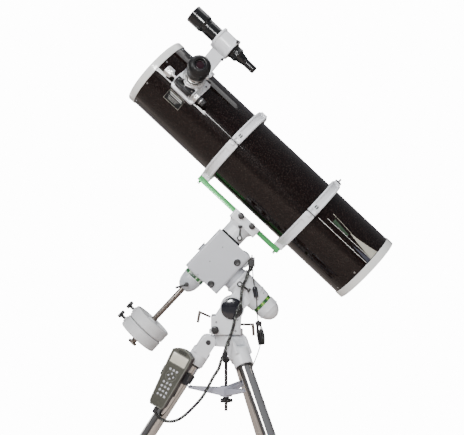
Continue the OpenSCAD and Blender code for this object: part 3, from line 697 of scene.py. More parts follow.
# ---- Tripod ----
cast("tripod_head_casting", "tripod_head", WHITE, WORLD, "tripod", 1.4)
bolts = []
for turn in TURNS.values():
    place = rz(turn) @ at(58, 0, 674)
    bolts.append(moved(rod(5, -31, 31, 28), place @ TO_Y))
    for way in (TO_Y, rx(90)):
        bolts.append(moved(hex_head(6.6, 4, 8), place @ way @ at(0, 0, 30.4)))
made("hinge_bolts", joined(*bolts), DARK_STEEL, WORLD, "tripod", ["leg_hinge_bolts"])
made("lock_rod", joined(rod(5, 454, 712, 36), moved(lobed(18, 14, 6, 0.22), at(0, 0, 612)),
                        turned([(0, 607), (9, 607), (10, 609), (10, 613), (0, 613)], 0.6, 48)),
     [DARK_STEEL, BLACK], WORLD, "lock_rod", ["mount_lock_rod"])
for p in bpy.data.objects["lock_rod"].data.polygons:
    p.material_index = 1 if hypot(p.center.x, p.center.y) > 0.0056 else 0
cast("spreader_casting", "spreader", LAVENDER, WORLD, "spreader", 1.2, add=joined(
    turned([(6, 531), (16, 531), (17, 532.5), (17, 533.4), (6, 533.4)], 0.6, 64)))
ends = []
for turn in TURNS.values():
    ends.append(moved(hex_head(4.6, 3, 6.2), rz(turn) @ at(112, 0, 532.5) @ ry(-13)))
on_spreader("spreader_bolts", joined(*ends), DARK_STEEL)
made("spreader_star", joined(moved(lobed(21.5, 12, 5, 0.3), at(0, 0, 481)),
                             turned([(5.7, 490), (10, 490), (10, 498.4), (9.4, 499.4), (5.7, 499.4)], 0.6, 48)),
     BLACK, WORLD, "spreader_knob", ["spreader_knob"])

for k, place in LEG.items():
    cast(f"leg_{k}_castings", f"leg_casting_{k}", WHITE, place, f"leg_{k}", 1.6, 5)
    made(f"leg_{k}_tube", lathe([(20.6, 36), (22.25, 36), (22.25, 684), (20.6, 684)], 96, loop=True), CHROME, place,
         f"leg_{k}", [f"leg_tube_{k}"])
    made(f"leg_{k}_collars", joined(
        turned([(22.4, 80), (25.5, 80), (26, 81), (26, 87), (25.2, 88), (22.4, 88)], 0.5, 72),
        turned([(22.4, 633), (27, 633), (28, 634.4), (28, 639), (27, 640.4), (22.4, 640.4)], 0.5, 72)), BLACK, place,
        f"leg_{k}")
    crisp(f"leg_{k}_extension", f"leg_extension_{k}", [STAINLESS, RUBBER], place, f"extension_{k}", 0,
          pick=lambda c, n: 1 if c.z > 744 else 0)
    ribs = [turned([(23.6, z), (24.5, z + 0.4), (24.5, z + 2.6), (23.6, z + 3)], 0.3, 60) for z in range(752, 775, 6)]
    made(f"leg_{k}_foot_ribs", joined(*ribs), RUBBER, place, f"extension_{k}")
    made(f"leg_{k}_clamp_knob", moved(joined(lobed(17, 14, 5, 0.3), rod(5, -22, 1, 28),
                                             turned([(0, -4), (9, -4), (9.6, -3), (9.6, 1), (0, 1)], 0.5, 40)),
                                      at(-45, 0, 670) @ ry(-90)), BLACK, place, f"clamp_{k}", [f"leg_knob_{k}"])

# ---- Mount base ----
cast("mount_base_casting", "mount_base", WHITE, WORLD, "base", 1.4, 4)
cover = [(0, 0), (34, 0), (34, 3.4)] + [(34 * cos(radians(a)), 4 + 5 * sin(radians(a))) for a in range(4, 90, 6)]
cap = lathe(cover + [(0, 9)], 96)
on_base("altitude_discs", joined(moved(cap, at(19, -60, 782) @ rx(90)), moved(cap, at(19, 60, 782) @ rx(-90))),
     GLOSS_BLACK, ["altitude_covers"], angle=50)
ring = turned([(34.2, 0), (37.4, 0), (37.4, 2.4), (36.6, 3.4), (34.8, 3.4), (34.2, 2.6)], 0.5, 96)
on_base("altitude_rims", joined(moved(ring, at(19, -59.6, 782) @ rx(90)), moved(ring, at(19, 59.6, 782) @ rx(-90))),
        WHITE)
knob = joined(knurled(12, 0.5, 15, 24, 0.7, 1.6), rod(3.8, -18, 2, 24))
on_base("azimuth_screws", joined(moved(knob, at(-34, -60, 716.3) @ rx(90)), moved(knob, at(-34, 60, 716.3)
    @ rx(-90))),
     BLACK, ["azimuth_knobs"])
hook_a = at(-49.2, 0, 752.3) @ ry(-66)
hook_b = at(47.4, 0, 728.3) @ ry(90)
on_base("latitude_screws", joined(
    moved(threaded(4, 0, 30), hook_a), moved(rod(4, 29, 42, 32), hook_a),
    moved(rod(4.5, -3, 34, 36, 2), hook_a @ at(0, 0, 38) @ ry(-104)),
    moved(threaded(4, 0, 30), hook_b), moved(rod(4, 29, 42, 32), hook_b),
    moved(rod(4.5, -3, 36, 36, 2), hook_b @ at(0, 0, 38) @ ry(86))), LINING, ["latitude_bolts"],
    angle=50)
screws("base_screws", "base", WORLD, [(-30, -60, 740), (30, -60, 712), (36, -60, 748)], 3, 1.6, turn=rx(90))

# ---- Polar axis ----
cast("polar_housing", "ra_housing", WHITE, POLAR, "polar_head", 1.3, 4, add=joined(
    moved(turned([(20, 180), (40.6, 180), (41, 181), (41, 184), (40.4, 185), (20, 185)], 0.6, 96), TO_X)))
made("polar_clutch_ring", moved(turned([(9.2, 0), (10.6, 0), (10.8, 0.8), (10.8, 3), (10.2, 4), (9.2, 4)], 0.4, 48),
                                at(121, -42, -3) @ rx(90)), WHITE, POLAR, "polar_head")
on_ra_ring("ra_circle", turned([(30.6, 211.5), (34.5, 211.5), (34.9, 212.4), (34.9, 220.6), (34.5, 221.5), (30.6,
    221.5)],
                         0.4, 120), RA_DIAL_WITH_PAINTED_HIGHLIGHT, ["ra_setting_ring"])
ticks = [moved(box((34.4, -0.25, 212.6), (35.1, 0.25, 216.5 if i % 3 else 219.8)), rz(i * 5)) for i in range(72)]
on_ra_ring("ra_ticks", joined(*ticks), MATT_BLACK)
made("polar_cap_seam", turned([(35.4, 243.4), (36.9, 243.4), (37, 244), (37, 246), (36.6, 246.8), (35.2, 246.8)], 0.4,
                              96), WHITE, AXIS, "polar_head")
screws("polar_screws", "polar_head", AXIS, [(0, -39.2, 196), (-27.7, -27.7, 196)], 1.6, 1.0, turn=rx(90))


def lever(y, turn, l):
    """A clutch lever in its own frame: a boss, a flat arm and a crossbar at its end."""
    arm = loft([[(x, y + 3.4 - 0.3 * (s > 0), -w), (x, y + 8, -w), (x, y + 8, w), (x, y + 3.4, w)]
                for s, x, w in ((0, 2, 4.6), (1, l * 0.5, 3), (2, l - 1, 3.2))])
    return joined(moved(joined(turned([(0, y + 0.4), (8.6, y + 0.4), (9, 1 + y), (9, y + 8), (8.2, y + 9), (0, y
        + 9)],
                                      0.4, 56), rod(3.7, y - 8, y + 1, 24)), TO_Y),
                  moved(joined(arm, loft([[(x, y + 2.4, -w), (x, y + 8.6, -w), (x, y + 8.6, w), (x, y + 2.4, w)]
                              for x, w in ((l - 3, 3.4), (l + 1.5, 7), (l + 5, 7.4), (l + 6, 6.4))])), ry(turn)))


LEVER_CAP = turned([(0, 0), (4.6, 0), (4.6, 0.7), (4, 1.2), (0, 1.2)], 0.3, 36)
mirror_y = Matrix.Scale(-1, 4, (0, 1, 0))
made("ra_clutch_arm", moved(lever(46, -10, 32), at(121, 0, -3) @ mirror_y), BLACK, POLAR, "ra_clutch",
     ["ra_clutch_lever"], bevel=0.5)
made("ra_clutch_cap", moved(LEVER_CAP,
                            at(121, -55, -3) @ rx(90)), WHITE, POLAR, "ra_clutch")

# ---- Declination head ----
cast("dec_head", "dec_housing", GREY, POLAR, "dec_body", 1.3, 4)
on_dec("dec_caps", joined(*[moved(turned([(0, 0), (10.6, 0), (11, 0.6), (11, 1.6), (10, 2.6), (8, 2.9), (7.4, 2.3),
                                        (0, 2.1)], 0.3, 56), at(x, -51.6, z) @ rx(90)) for x, z in ((69, 41), (55,
                                            -64))]),
     BLACK)
on_dec("dec_band", turned([(32.6, -89), (34.4, -89), (34.9, -88.2), (34.9, -79.4), (34.4, -78.6), (32.6, -78.6)],
                          0.4, 120),
     DEC_DIAL)
on_dec("dec_band_lips", joined(turned([(32.6, -91.4), (34.6, -91.4), (35.2, -90.6), (35.2, -89.4), (32.6, -89.2)],
                                      0.3, 96),
                             turned([(32.6, -78.4), (35.2, -78.4), (35.2, -77), (34.4, -76.2), (32.6, -76.2)], 0.3,
                                    96)),
     WHITE)
on_dec("dec_seams", joined(*[moved(turned([(41.6, 0), (42.3, 0.3), (42.3, 1.3), (41.6, 1.6)], 0.2, 96), at(x, 0,
    0) @ TO_X)
                           for x in (92.5, 103.6)]), GREY)
on_dec("polar_scope_cover", moved(turned([(0, 0), (15.8, 0), (16.4, 0.6), (16.4, 1.8), (15.6, 2.5), (0, 2.3)],
                                       0.3, 64), at(-48.6, 0, 0) @ ry(-90)), BLACK)
screws("dec_screws", "dec_body", POLAR, [(3, -50, 45), (4, -50, -15), (5, -50, -70)], 1.9, 0.8, turn=rx(90))
on_dec("motor_cover_lines", joined(*[moved(turned([(28.0, 0), (28.7, 0.4), (28.7, 1.4), (28.0, 1.8)], 0.2, 72),
                                         at(72, y, 58) @ rx(90)) for y in (-33, -20, 34)]), GREY)
made("shaft_lock_handle", joined(
    moved(joined(turned([(0, 7), (6.4, 7), (7, 8), (7, 17), (6.2, 18), (0, 18)], 0.5, 40), rod(4, -8, 9, 24)),
          rx(90)),
    moved(loft([[(x, -16.4, -w), (x, -10.4, -w), (x, -10.4, w), (x, -16.4, w)]
                for x, w in ((0, 5), (14, 3.4), (30, 3.8), (36, 3.4))]), ry(120))),
    BLACK, POLAR @ at(0, -33, -118), "shaft_lock", ["shaft_lock_lever"], bevel=0.6)
made("weight_shaft", joined(turned([(0, -372), (9, -372), (9, -79), (8, -78), (0, -78)], 0.5, 64),
                            knurled(15, -376, -368.3, 30, 0.6, 1.2)), BROWN_STEEL, POLAR, "shaft",
                            ["counterweight_shaft"])

for side, top in (("upper", -273), ("lower", -313)):
    bottom = top - 39
    rim = [(66.9 - 1.1 * (i % 2), bottom + 5 + i * 2.4) for i in range(13)]
    made(f"weight_{side}_disc", lathe(fillet([
        (9.3, bottom), (59, bottom), (64, bottom + 1), (66.3, bottom + 3.4), *rim, (66.3, bottom + 35.6),
        (64, bottom + 38), (61, bottom + 39), (58.5, bottom + 38.6), (54, bottom + 31), (26, bottom + 29),
        (17, bottom + 31), (16, bottom + 39), (9.3, bottom + 39), (9.3, bottom)], 1.0, 2), 144),
        WEIGHT, POLAR, f"weight_{side}", [f"counterweight_{side}"], angle=60)
    made(f"weight_{side}_boss", moved(turned([(5.4, 0), (10.5, 0), (10.5, 2.4), (9.6, 3.4), (5.4, 3.4)], 0.5, 40),
                                      at(-65.8, 0, bottom + 19.5) @ ry(-90)), WEIGHT, POLAR, f"weight_{side}")
    screw_place = at(-81, 0, bottom + 19.5) @ ry(-90)
    made(f"screw_{side}", joined(moved(lobed(15, 12, 3, 0.42), screw_place), moved(rod(5, -71, 1, 28), screw_place)),
         BLACK, POLAR, f"screw_{side}", [f"weight_screw_{side}"])

# ---- Saddle ----
cast("saddle_casting", "saddle", WHITE, POLAR, "saddle", 1.3, 4)
# A matt black ring filling the gap between the dec head and the saddle: painted shade in the gap.
on_dec("saddle_gap_ring", turned([(30, 82.4), (37.9, 82.4), (37.9, 87.7), (30, 87.7)], 0.4, 96), MATT_BLACK)
on_saddle("dec_clutch_ring", moved(turned([(9.1, 0), (10.4, 0), (10.6, 0.8), (10.6, 3), (10, 4), (9.1, 4)], 0.4, 48),
                              at(22, -40, 102) @ rx(90)), WHITE)
made("dec_clutch_arm", moved(lever(44, -130, 34), at(22, 0, 102) @ mirror_y), BLACK, POLAR, "dec_clutch",
     ["dec_clutch_lever"], bevel=0.5)
made("dec_clutch_cap", moved(LEVER_CAP,
                             at(22, -53, 102) @ rx(90)), WHITE, POLAR, "dec_clutch")
grip = joined(knurled(10, 0.4, 15, 20, 0.7, 1.4), rod(4, -24, 1, 24))
on_saddle("saddle_grips", joined(*[moved(grip, at(x, -45, 156) @ rx(90)) for x in (-22, 24)]), BLACK,
     ["saddle_knobs"])

# ---- Rings and bar ----
crisp("dovetail", "dovetail_bar", [GREEN], POLAR, "rings", 0.7)
screws("dovetail_stops", "rings", POLAR, [(-194, 0, 142), (131, 0, 142)], 4.2, 3, STEEL, turn=rx(180))


def channel(x, a0, a1):
    """The hollow round the outside of a ring, from angle a0 to a1 above the level on the camera's side."""
    rings = []
    for i in range(41):
        t = radians(a0 + (a1 - a0) * i / 40)
        rings.append([(x + u, -r * cos(t), TUBE_UP + r * sin(t)) for u, r in
                      ((-9.5, 140), (-9.5, 131.6), (-8.5, 129.6), (8.5, 129.6), (9.5, 131.6), (9.5, 140))])
    return loft(rings)


def one_of(x):
    return lambda c: abs(c.x - x) < 40


for name, x in (("front", -189), ("rear", 129)):
    cast(f"ring_{name}_lower", "ring_bases", WHITE, POLAR, "rings", 1.3, 3, keep=one_of(x),
         cut=joined(channel(x, -14, -78), channel(x, -102, -166)), nodes=["ring_bases"])
    cast(f"ring_{name}_upper", f"ring_{name}_top", WHITE, POLAR, f"ring_{name}", 1.3, 3,
         keep=lambda c: c.y < 60, cut=joined(channel(x, 14, 78), channel(x, 102, 166)))
    made(f"ring_{name}_knob", joined(moved(lobed(11, 12, 5, 0.25), at(x, 139.5, 321.4)),
                                     moved(threaded(4, -13, 10), at(x, 139.5, TUBE_UP)),
                                     moved(rod(4, 9, 17, 28), at(x, 139.5, TUBE_UP))), BLACK, POLAR, f"ring_{name}",
         [f"ring_{name}_top"])
    felt = [wrap([x - 15 + 30 * i / 4 for i in range(5)], lambda q, lo=lo: lo, lambda q, hi=hi: hi, 116.3, 118.4, 60)
            for lo, hi in ((4, 176), (-176, -4))]
    for part, body, strip in (("upper", f"ring_{name}", felt[0]), ("lower", "rings", felt[1])):
        made(f"ring_{name}_felt_{part}", moved(strip, at(0, 0, TUBE_UP)), MATT_BLACK, POLAR, body)
    on_rings(f"ring_{name}_hinge_pin", moved(joined(rod(2.2, -15.5, 15.5, 24), moved(hex_head(3.4, 1.6), at(0, 0,
        14.2))),
                                         at(x, -137.5, TUBE_UP) @ TO_X), STEEL)
    # Black boxes at each ring's recessed pockets: painted shade in place of the hollows.
    made(f"ring_{name}_slot_shade", joined(*[moved(box((x - 5.4, -1.6, -8), (x - 1.6, 0.6, 8)), at(q, -130.4, 327))
                                        for q in (0, 6.6)]), MATT_BLACK, POLAR, f"ring_{name}")
    # A black box filling each ring's split by the hinge: painted shade in the gap. It covers most of the hinge pin.
    on_rings(f"ring_{name}_split", box((x - 15.4, -141.6, 303.2), (x + 15.4, -119, 306.1)), MATT_BLACK)
made("camera_screw", moved(joined(knurled(12, 6, 10.6, 24, 0.6, 1.0), rod(3.1, -4, 21, 28), threaded(3.1, 11, 21,
    1.3)),
                           at(129, 0, TUBE_UP + 133.5)), DARK_STEEL, POLAR, "ring_rear")

# ---- Tube ----
crisp("tube_wall", "optical_tube", [TUBE_BLACK, MATT_BLACK], TUBE, "tube", 0,
      pick=lambda c, n: 0 if hypot(c.y, c.z) > 115.6 and abs(n.x) < 0.5 else 1, angle=30)
along_tube("tube_front_rim", turned([(107, -542), (112, -542), (116.5, -540.6), (118.5, -538), (118.5, -519), (118,
    -517.4),
                               (116.05, -517), (116.05, -536), (107, -537.4), (107, -542)], 1.6, 160), GLOSS_WHITE,
                               ["front_ring"], angle=50)
cast("tube_rear_cell", "rear_ring", GLOSS_WHITE, TUBE_Z, "tube", 1.3, 3)
for name, x in (("front", -511), ("rear", 352)):
    spots = []
    for i in range(8):
        a = radians(i * 45 + (-26 if name == "front" else -20))
        spots.append(moved(moved(socket_screw(2.6, 1.2), rx(90)), Matrix.Rotation(-a, 4, "X") @ at(0, -116, 0)))
    on_tube(f"tube_{name}_screws", moved(joined(*spots), at(x, 0, 0)), STEEL)


PAINT = 115.9                            # just under the paint's surface
DECAL = 116.25                           # the top of a decal


def span(x0, x1, n=24): return [x0 + (x1 - x0) * i / n for i in range(n + 1)]
def flat(value): return lambda x: value


def stripe(x0, x1, low, high, base=PAINT, top=DECAL, steps=2, n=24):
    """A straight stripe along the tube."""
    return wrap(span(x0, x1, n), flat(low), flat(high), base, top, steps)


# The line from 3.0 to 3.7 degrees is a painted highlight along the rear of the tube; the line from 12.1 to 12.6
# degrees is a printed stripe.
on_tube("stripe_long", joined(
    stripe(156, 359, 3.0, 3.7),
    stripe(178, 359, 12.1, 12.6)), WHITE_PRINT_AND_HIGHLIGHT)
on_tube("stripe_upper", wrap(span(181, 262), lambda x: 24 - 3 * (x - 181) / 81, lambda x: 24.6 - 3 * (x - 181) / 81,
                             PAINT,
                          DECAL, 2), STRIPE_CREAM)
on_tube("stripe_wedge", wrap(span(262, 359), lambda x: 13.4 + 6.0 * (1 - (x - 262) / 97) ** 1.6,
                          lambda x: 20.4 + 8.2 * ((x - 262) / 97) ** 1.5, PAINT, DECAL, 10), STRIPE_CREAM)
on_tube("stripe_shadow", joined(wrap(span(196, 258), lambda x: 13.6, lambda x: 20 - 3.5 * (x - 196) / 62, PAINT,
                                     116.22, 6)),
     STRIPE_GREEN)
on_tube("stripe_slate", wrap(span(288, 359), lambda x: 8 - 3.2 * ((x - 288) / 71), lambda x: 8.2
                             + 3.2 * ((x - 288) / 71),
                          PAINT, 116.22, 4), STRIPE_SLATE)
on_tube("plate_ground", wrap(span(-446, -386), flat(-24.4), flat(-7.6), PAINT, 116.2, 12), MATT_BLACK)
on_tube("plate_border", joined(
    stripe(-446, -386, -7.9, -7.6, 116.1, 116.32),
    stripe(-446, -386, -24.4, -24.1, 116.1, 116.32),
    stripe(-446, -445.5, -24.4, -7.6, 116.1, 116.32, 12, 2),
    stripe(-386.5, -386, -24.4, -7.6, 116.1, 116.32, 12, 2)), STRIPE_CREAM)
on_tube("plate_bars", joined(*[stripe(a, b, q, q + w, 116.1, 116.34) for a, b, q, w in (
    (-440, -393, -10.8, 0.9), (-436, -391, -13.4, 0.8), (-438, -398, -16.2, 0.3), (-436, -400, -18.4, 0.3),
    (-434, -404, -20.6, 0.3))]), WHITE_PRINT_AND_HIGHLIGHT)

crisp("main_mirror", "primary_mirror", [MIRROR, GLASS_EDGE], TUBE_Z, "tube", 0.6,
      pick=lambda c, n: 0 if c.z < 338 and n.z < -0.9 else 1, angle=25)
mirror_clips = [moved(joined(box((96, -6, 328), (103, 6, 333)), box((99.8, -6, 328), (103, 6, 368))), rz(i * 120
    + 30))
                for i in range(3)]
along_tube("mirror_clips", joined(*mirror_clips), BLACK, bevel=0.6)
turns_big = [moved(joined(knurled(8, 1, 12, 16, 0.6, 1.2), rod(3, -8, 2, 20)), rz(i * 120 + 90) @ at(78, 0, 373))
             for i in range(3)]
turns_small = [moved(joined(knurled(5, 0.6, 6, 12, 0.4, 0.8), rod(3, -6, 1, 20)), rz(i * 120 + 30) @ at(78, 0, 372))
               for i in range(3)]
along_tube("collimation_screws", joined(*turns_big, *turns_small), SILVER,
     ["collimation_knobs"])
crisp("spider_vanes", "spider", [MATT_BLACK], FOCUSER, "tube", 0.3)
crisp("diagonal_mirror", "secondary_mirror", [MIRROR, GLASS_EDGE], FOCUSER, "tube", 0.3,
      pick=lambda c, n: 0 if n.z > 0.6 and n.x < -0.6 else 1, angle=25)

# ---- Focuser ----
cast("focuser_casting", "focuser_body", WHITE, FOCUSER, "tube", 1.0, 3)
on_focuser("focuser_collars", joined(
    turned([(33.2, 173), (36.4, 173), (37, 174), (37, 178), (36.4, 179), (33.2, 179)], 0.5, 96),
    turned([(27.8, 186), (32.6, 186), (33, 186.6), (33, 187.4), (32.4, 188), (27.8, 188)], 0.3, 96)), SILVER)
screws("focuser_screws", "tube", FOCUSER, [(sx * 38, sy * 26, 127.4) for sx in (-1, 1) for sy in (-1, 1)], 2.6, 1.6)
screws("pinion_screws", "tube", FOCUSER, [(-34, -46, 152), (28, -46, 152), (-34, -46, 166), (28, -46, 166)], 2.2, 1.4,
       turn=rx(90))
on_focuser("pinion_cover", joined(box((-37, -47.4, 158), (31, -27, 174.4)), box((-30, -50.4, 148), (24, -44, 171))),
           EYE_BLACK, bevel=1.2)
screws("pinion_cover_screws", "tube", FOCUSER, [(-30, -38, 174.4), (24, -38, 174.4), (-3, -38, 174.4)], 2.4, 1.2,
       STEEL)
on_focuser("lock_screws", joined(*[moved(joined(knurled(4.6, 3, 10, 12, 0.4, 0.8), rod(1.8, -4, 4, 20)),
                                   rz(a) @ at(35, 0, 181) @ TO_X) for a in (60, -120)]), BLACK)
made("draw_sleeve", joined(
    turned([(25.6, 119), (27, 119), (27, 206), (30.2, 206.4), (31, 207.4), (31, 215.4), (30.4, 216.4), (25.6, 217)],
           0.5, 96)),
    CHROME, FOCUSER, "draw", ["drawtube"])
made("draw_screws", joined(*[moved(joined(knurled(4.4, 2.4, 9, 12, 0.4, 0.8), rod(1.6, -3, 3, 20)),
                                   rz(a) @ at(31, 0, 211) @ TO_X) for a in (20, 140)]), SILVER, FOCUSER, "draw")
PINION = FOCUSER @ at(0, -34, 158) @ TO_X
made("focus_wheels", joined(rod(4, -62, 40, 36), knurled(15, -80, -57, 36, 0.5, 1.6), knurled(15, 38, 52, 36, 0.5,
    1.6),
                            turned([(0, -57.4), (9, -57.4), (9, -54), (0, -54)], 0.5, 40)), SILVER, PINION, "focus",
     ["focus_knobs"])
made("fine_wheel", knurled(10.5, 52.6, 76, 26, 0.7, 1.4), BLACK, PINION, "fine_focus", ["fine_focus_knob"])
made("fine_wheel_ring", turned([(9.6, 61), (10.9, 61.4), (10.9, 63.6), (9.6, 64)], 0.3, 60), SILVER, PINION,
     "fine_focus")

EYE = FOCUSER @ at(0, 0, 217)
on_eye = attach(EYE, "eyepiece")


def eyecup(a, r, z):
    return r - (0.45 * (0.5 - 0.5 * cos(48 * a)) if 6 < z < 27 and r > 31.8 else 0)


on_eye("eyepiece_barrel", joined(turned([(21, -36), (25.2, -36), (25.4, -35), (25.4, -12), (24.8, -11), (24.8, -7),
                                       (25.4, -6), (25.4, 0.5), (21, 0.5)], 0.3, 96),
                               turned([(0, -8), (21.5, -8), (21.5, -6), (0, -6)], 0.3, 64)), CHROME,
     ["eyepiece"])
on_eye("eyepiece_grip", lathe(fillet([(20, 0.2), (30, 0.2), (31.2, 1.2), (32, 5), (32, 28), (32.4, 29), (31.2, 29.6),
                                    (31.2, 31), (34, 33), (35, 36), (35, 44), (33.4, 51), (29.6, 58), (24, 62.6),
                                    (19, 63.6),
                                    (16.4, 62.6), (15, 57), (14, 54.4), (0, 54)], 0.8), 192, eyecup), EYE_BLACK,
     ["eyepiece"], angle=50)
on_eye("eye_lens", lathe([(0, 56.2), (6, 55.9), (10, 55.2), (12.6, 54.4), (12.6, 53), (0, 53)], 72), LENS)
on_eye("eye_lens_ring", turned([(12.4, 53.4), (14.6, 53.6), (14.6, 56.2), (13.4, 56.6), (12.4, 55.4)], 0.4, 72),
       GLOSS_BLACK)
on_eye("eyepiece_bands", joined(turned([(31.4, 2), (32.3, 2.6), (32.3, 3.8), (31.4, 4.4)], 0.2, 96)), STEEL)

# ---- Finder ----
FOOT = TUBE @ rx(25)
cast("finder_holder", "finder_bracket", WHITE, FOOT, "tube", 1.1, 4)
screws("finder_foot_screws", "tube", FOOT, [(-446, 0, 124.6), (-392, 0, 124.6)], 2.6, 1.6)
pegs = []
for z, r in ((-393, 36), (-448, 36)):
    for a in (90, 210, 330):
        pegs.append(moved(joined(knurled(4.2, 5, 11, 12, 0.4, 0.8), rod(2, -10, 6, 20)),
                          rz(a + (0 if z > -420 else 60)) @ at(r, 0, z) @ TO_X))
on_finder("finder_pegs", joined(*pegs[:3]), BLACK)
on_finder("finder_peg_nuts", joined(*[moved(turned([(2.2, 0), (4, 0), (4, 1.6), (2.2, 1.6)], 0.3, 24),
                                       rz(a) @ at(36, 0, -393) @ TO_X) for a in (90, 210, 330)]), STEEL)


def focus_ribs(a, r, z):
    return r - (0.5 * (0.5 - 0.5 * cos(40 * a)) if -383.5 < z < -366.5 and r > 22 else 0)


on_finder("finder_body", lathe(fillet([
    (24.5, -548), (26.4, -549), (27.6, -557), (28.3, -557), (28.5, -556), (28.5, -508), (28.2, -506.4), (26.2,
        -503.4),
    (24.4, -500.6), (24.3, -494), (23.9, -493.4), (23.9, -491.4), (24.3, -490.8), (24.3, -388), (23.6, -386),
    (22.6, -384), (22.6, -366), (21.6, -364.6), (17.2, -360), (14.2, -341), (12.2, -337), (12, -334), (12, -303),
    (11.4, -299), (9.6, -297.2), (8, -298), (7.4, -300), (0, -300)], 0.6), 240, focus_ribs), FINDER_BLACK,
    ["finder_scope"], angle=50)
on_finder("finder_lens", lathe([(0, -551.5), (8, -551.1), (16, -549.8), (24.9, -547.4), (24.9, -545), (0, -545)],
                               96), LENS)
on_finder("finder_rings", joined(turned([(28.2, -512.5), (28.9, -512), (28.9, -510.6), (28.2, -510)], 0.2, 96),
                            turned([(24.0, -383.9), (24.6, -384.6), (24.6, -386.4), (24.0, -387)][::-1], 0.2, 96)),
     MATT_BLACK)
on_finder("finder_eye_lens", lathe([(0, -298.4), (4, -298.6), (7.2, -299.4), (7.2, -301), (0, -301)][::-1], 48), LENS)

# ---- Handset ----
shell = cast("handset_shell", "handset", HANDSET_DARK, FACE, "leg_a", 0.9, 4, lean=0.5)
shell.data.materials.append(HANDSET_GREY)
for p in shell.data.polygons:
    p.material_index = 1 if p.normal.z > 0.35 or p.center.y > 0.086 else 0


def outline(w, grow=0.0, steps=20):
    """The handset's outline, anticlockwise, moved in or out by grow."""
    pts = [(-21, -100), (21, -100), (27, -88)]
    pts += [(w / 2 - 1, 40), (w / 2, 62)]
    for i in range(1, steps):
        a = radians(14 + (166 - 14) * i / steps)
        pts.append((min(w / 2, max(-w / 2, 50 * cos(a))), 50 + 50 * sin(a)))
    pts += [(-w / 2, 62), (-w / 2 + 1, 40), (-27, -88)]
    out = []
    for i, p in enumerate(pts):
        a, b = Vector(pts[i - 1]), Vector(pts[(i + 1) % len(pts)])
        t = (b - a).normalized()
        out.append((p[0] + t.y * grow, p[1] - t.x * grow))
    return out


def band(outer, inner, z0, z1):
    rings = []
    for ring in ((outer, z0), (outer, z1), (inner, z1), (inner, z0)):
        rings.append([(x, y, ring[1]) for x, y in ring[0]])
    v = [p for r in rings for p in r]
    k, f = len(outer), []
    for i in range(4):
        for j in range(k):
            a, b = i * k + j, i * k + (j + 1) % k
            c, d = ((i + 1) % 4) * k + (j + 1) % k, ((i + 1) % 4) * k + j
            f.append((a, b, c, d))
    return v, f


on_handset("handset_rim", band(outline(72, -0.6), outline(72, -4.4), 13.0, 14.9), RIM, bevel=0.6)
on_handset("handset_side_line", band(outline(72, 0.35), outline(72, -1.5), -1, 1), MATT_BLACK, bevel=0.3)


def rounded(w, h, r, steps=6):
    out = []
    for cx, cy, a0 in ((w / 2 - r, h / 2 - r, 0), (r - w / 2, h / 2 - r, 90), (r - w / 2, r - h / 2, 180),
                       (w / 2 - r, r - h / 2, 270)):
        for i in range(steps + 1):
            a = radians(a0 + 90 * i / steps)
            out.append((cx + r * cos(a), cy + r * sin(a)))
    return out


holes = [(x, 26) for x in (-12, 0, 12)] + [(9, 6), (0, 15), (-9, 6), (0, -3)]
holes += [(col * 12, -18 - row * 14) for row in range(4) for col in (-1, 0, 1)]
on_handset("handset_bezel", joined(
    moved(band(rounded(60, 37, 6), rounded(54, 31, 3), 13.4, 15.0), at(0, 62, 0))), RIM, bevel=0.5)
on_handset("handset_screen", moved(prism(rounded(55, 32, 3), 13.2, 14.3), at(0, 62, 0)), SCREEN, bevel=0.3)
on_handset("handset_top_grip", joined(*[moved(prism(rounded(30 - 2 * i, 1.4, 0.7), 13.4, 14.6), at(0, 84 + 3 * i, 0))
                                           for i in range(3)]), MATT_BLACK, bevel=0.3)
button = lathe(fillet([(0, 11.8), (3.5, 11.8), (3.6, 12.4), (3.6, 14.6), (3.2, 15.4), (2.0, 15.5), (1.6, 15.2), (0,
    15.1)],
                      0.3), 40)
buttons = [moved(button, at(x, y, 0)) for x, y in holes[:3] + holes[7:]]
arrow = lathe(fillet([(0, 11.8), (3.9, 11.8), (3.9, 14.6), (3.2, 15.5), (0, 15.3)], 0.3), 4)
buttons += [moved(arrow, at(x, y, 0)) for x, y in holes[3:7]]
made("handset_keys", joined(*buttons), KEY, FACE, "keypad", ["keypad"], angle=50)
collars = [moved(turned([(4.1, 13.4), (5.1, 13.4), (5.1, 14.3), (4.7, 14.7), (4.1, 14.4)], 0.2, 36), at(x, y, 0))
           for x, y in holes[:3] + holes[7:]]
on_handset("key_rims", joined(*collars), RIM)
on_handset("face_panel", joined(moved(band(rounded(36, 36, 17), rounded(33, 33, 15.5), 13.4, 14.4), at(0, 6, 0)
                                      @ rz(45))), RIM, bevel=0.2)
cast("handset_cradle", "handset_holder", BLACK, WORLD, "leg_a", 1.0, 3)
made("cradle_strap_lines", joined(*[moved(turned([(26.6, z), (27.4, z + 0.5), (27.4, z + 2), (26.6, z + 2.5)], 0.2,
                                                 64),
                                          WORLD) for z in (118, 127, 136)]), RUBBER, LEG["a"], "leg_a")
made("handset_strain_relief", moved(turned([(5.2, 0), (7.4, 0), (7.2, 4), (6.4, 16), (5.3, 18)], 0.6, 32),
                                    at(-216.6, -63, 474) @ ry(27) @ rx(180)), RUBBER, WORLD, "leg_a")
cast("control_box", "cord_box", BLACK, WORLD, "dec_body", 0.8, 3)
by_dec("control_box_light", moved(turned([(0, 0), (1.6, 0), (1.6, 0.8), (1.1, 1.5), (0, 1.7)], 0.2, 20),
                                at(86, -35, 936) @ rx(90)), KEY)

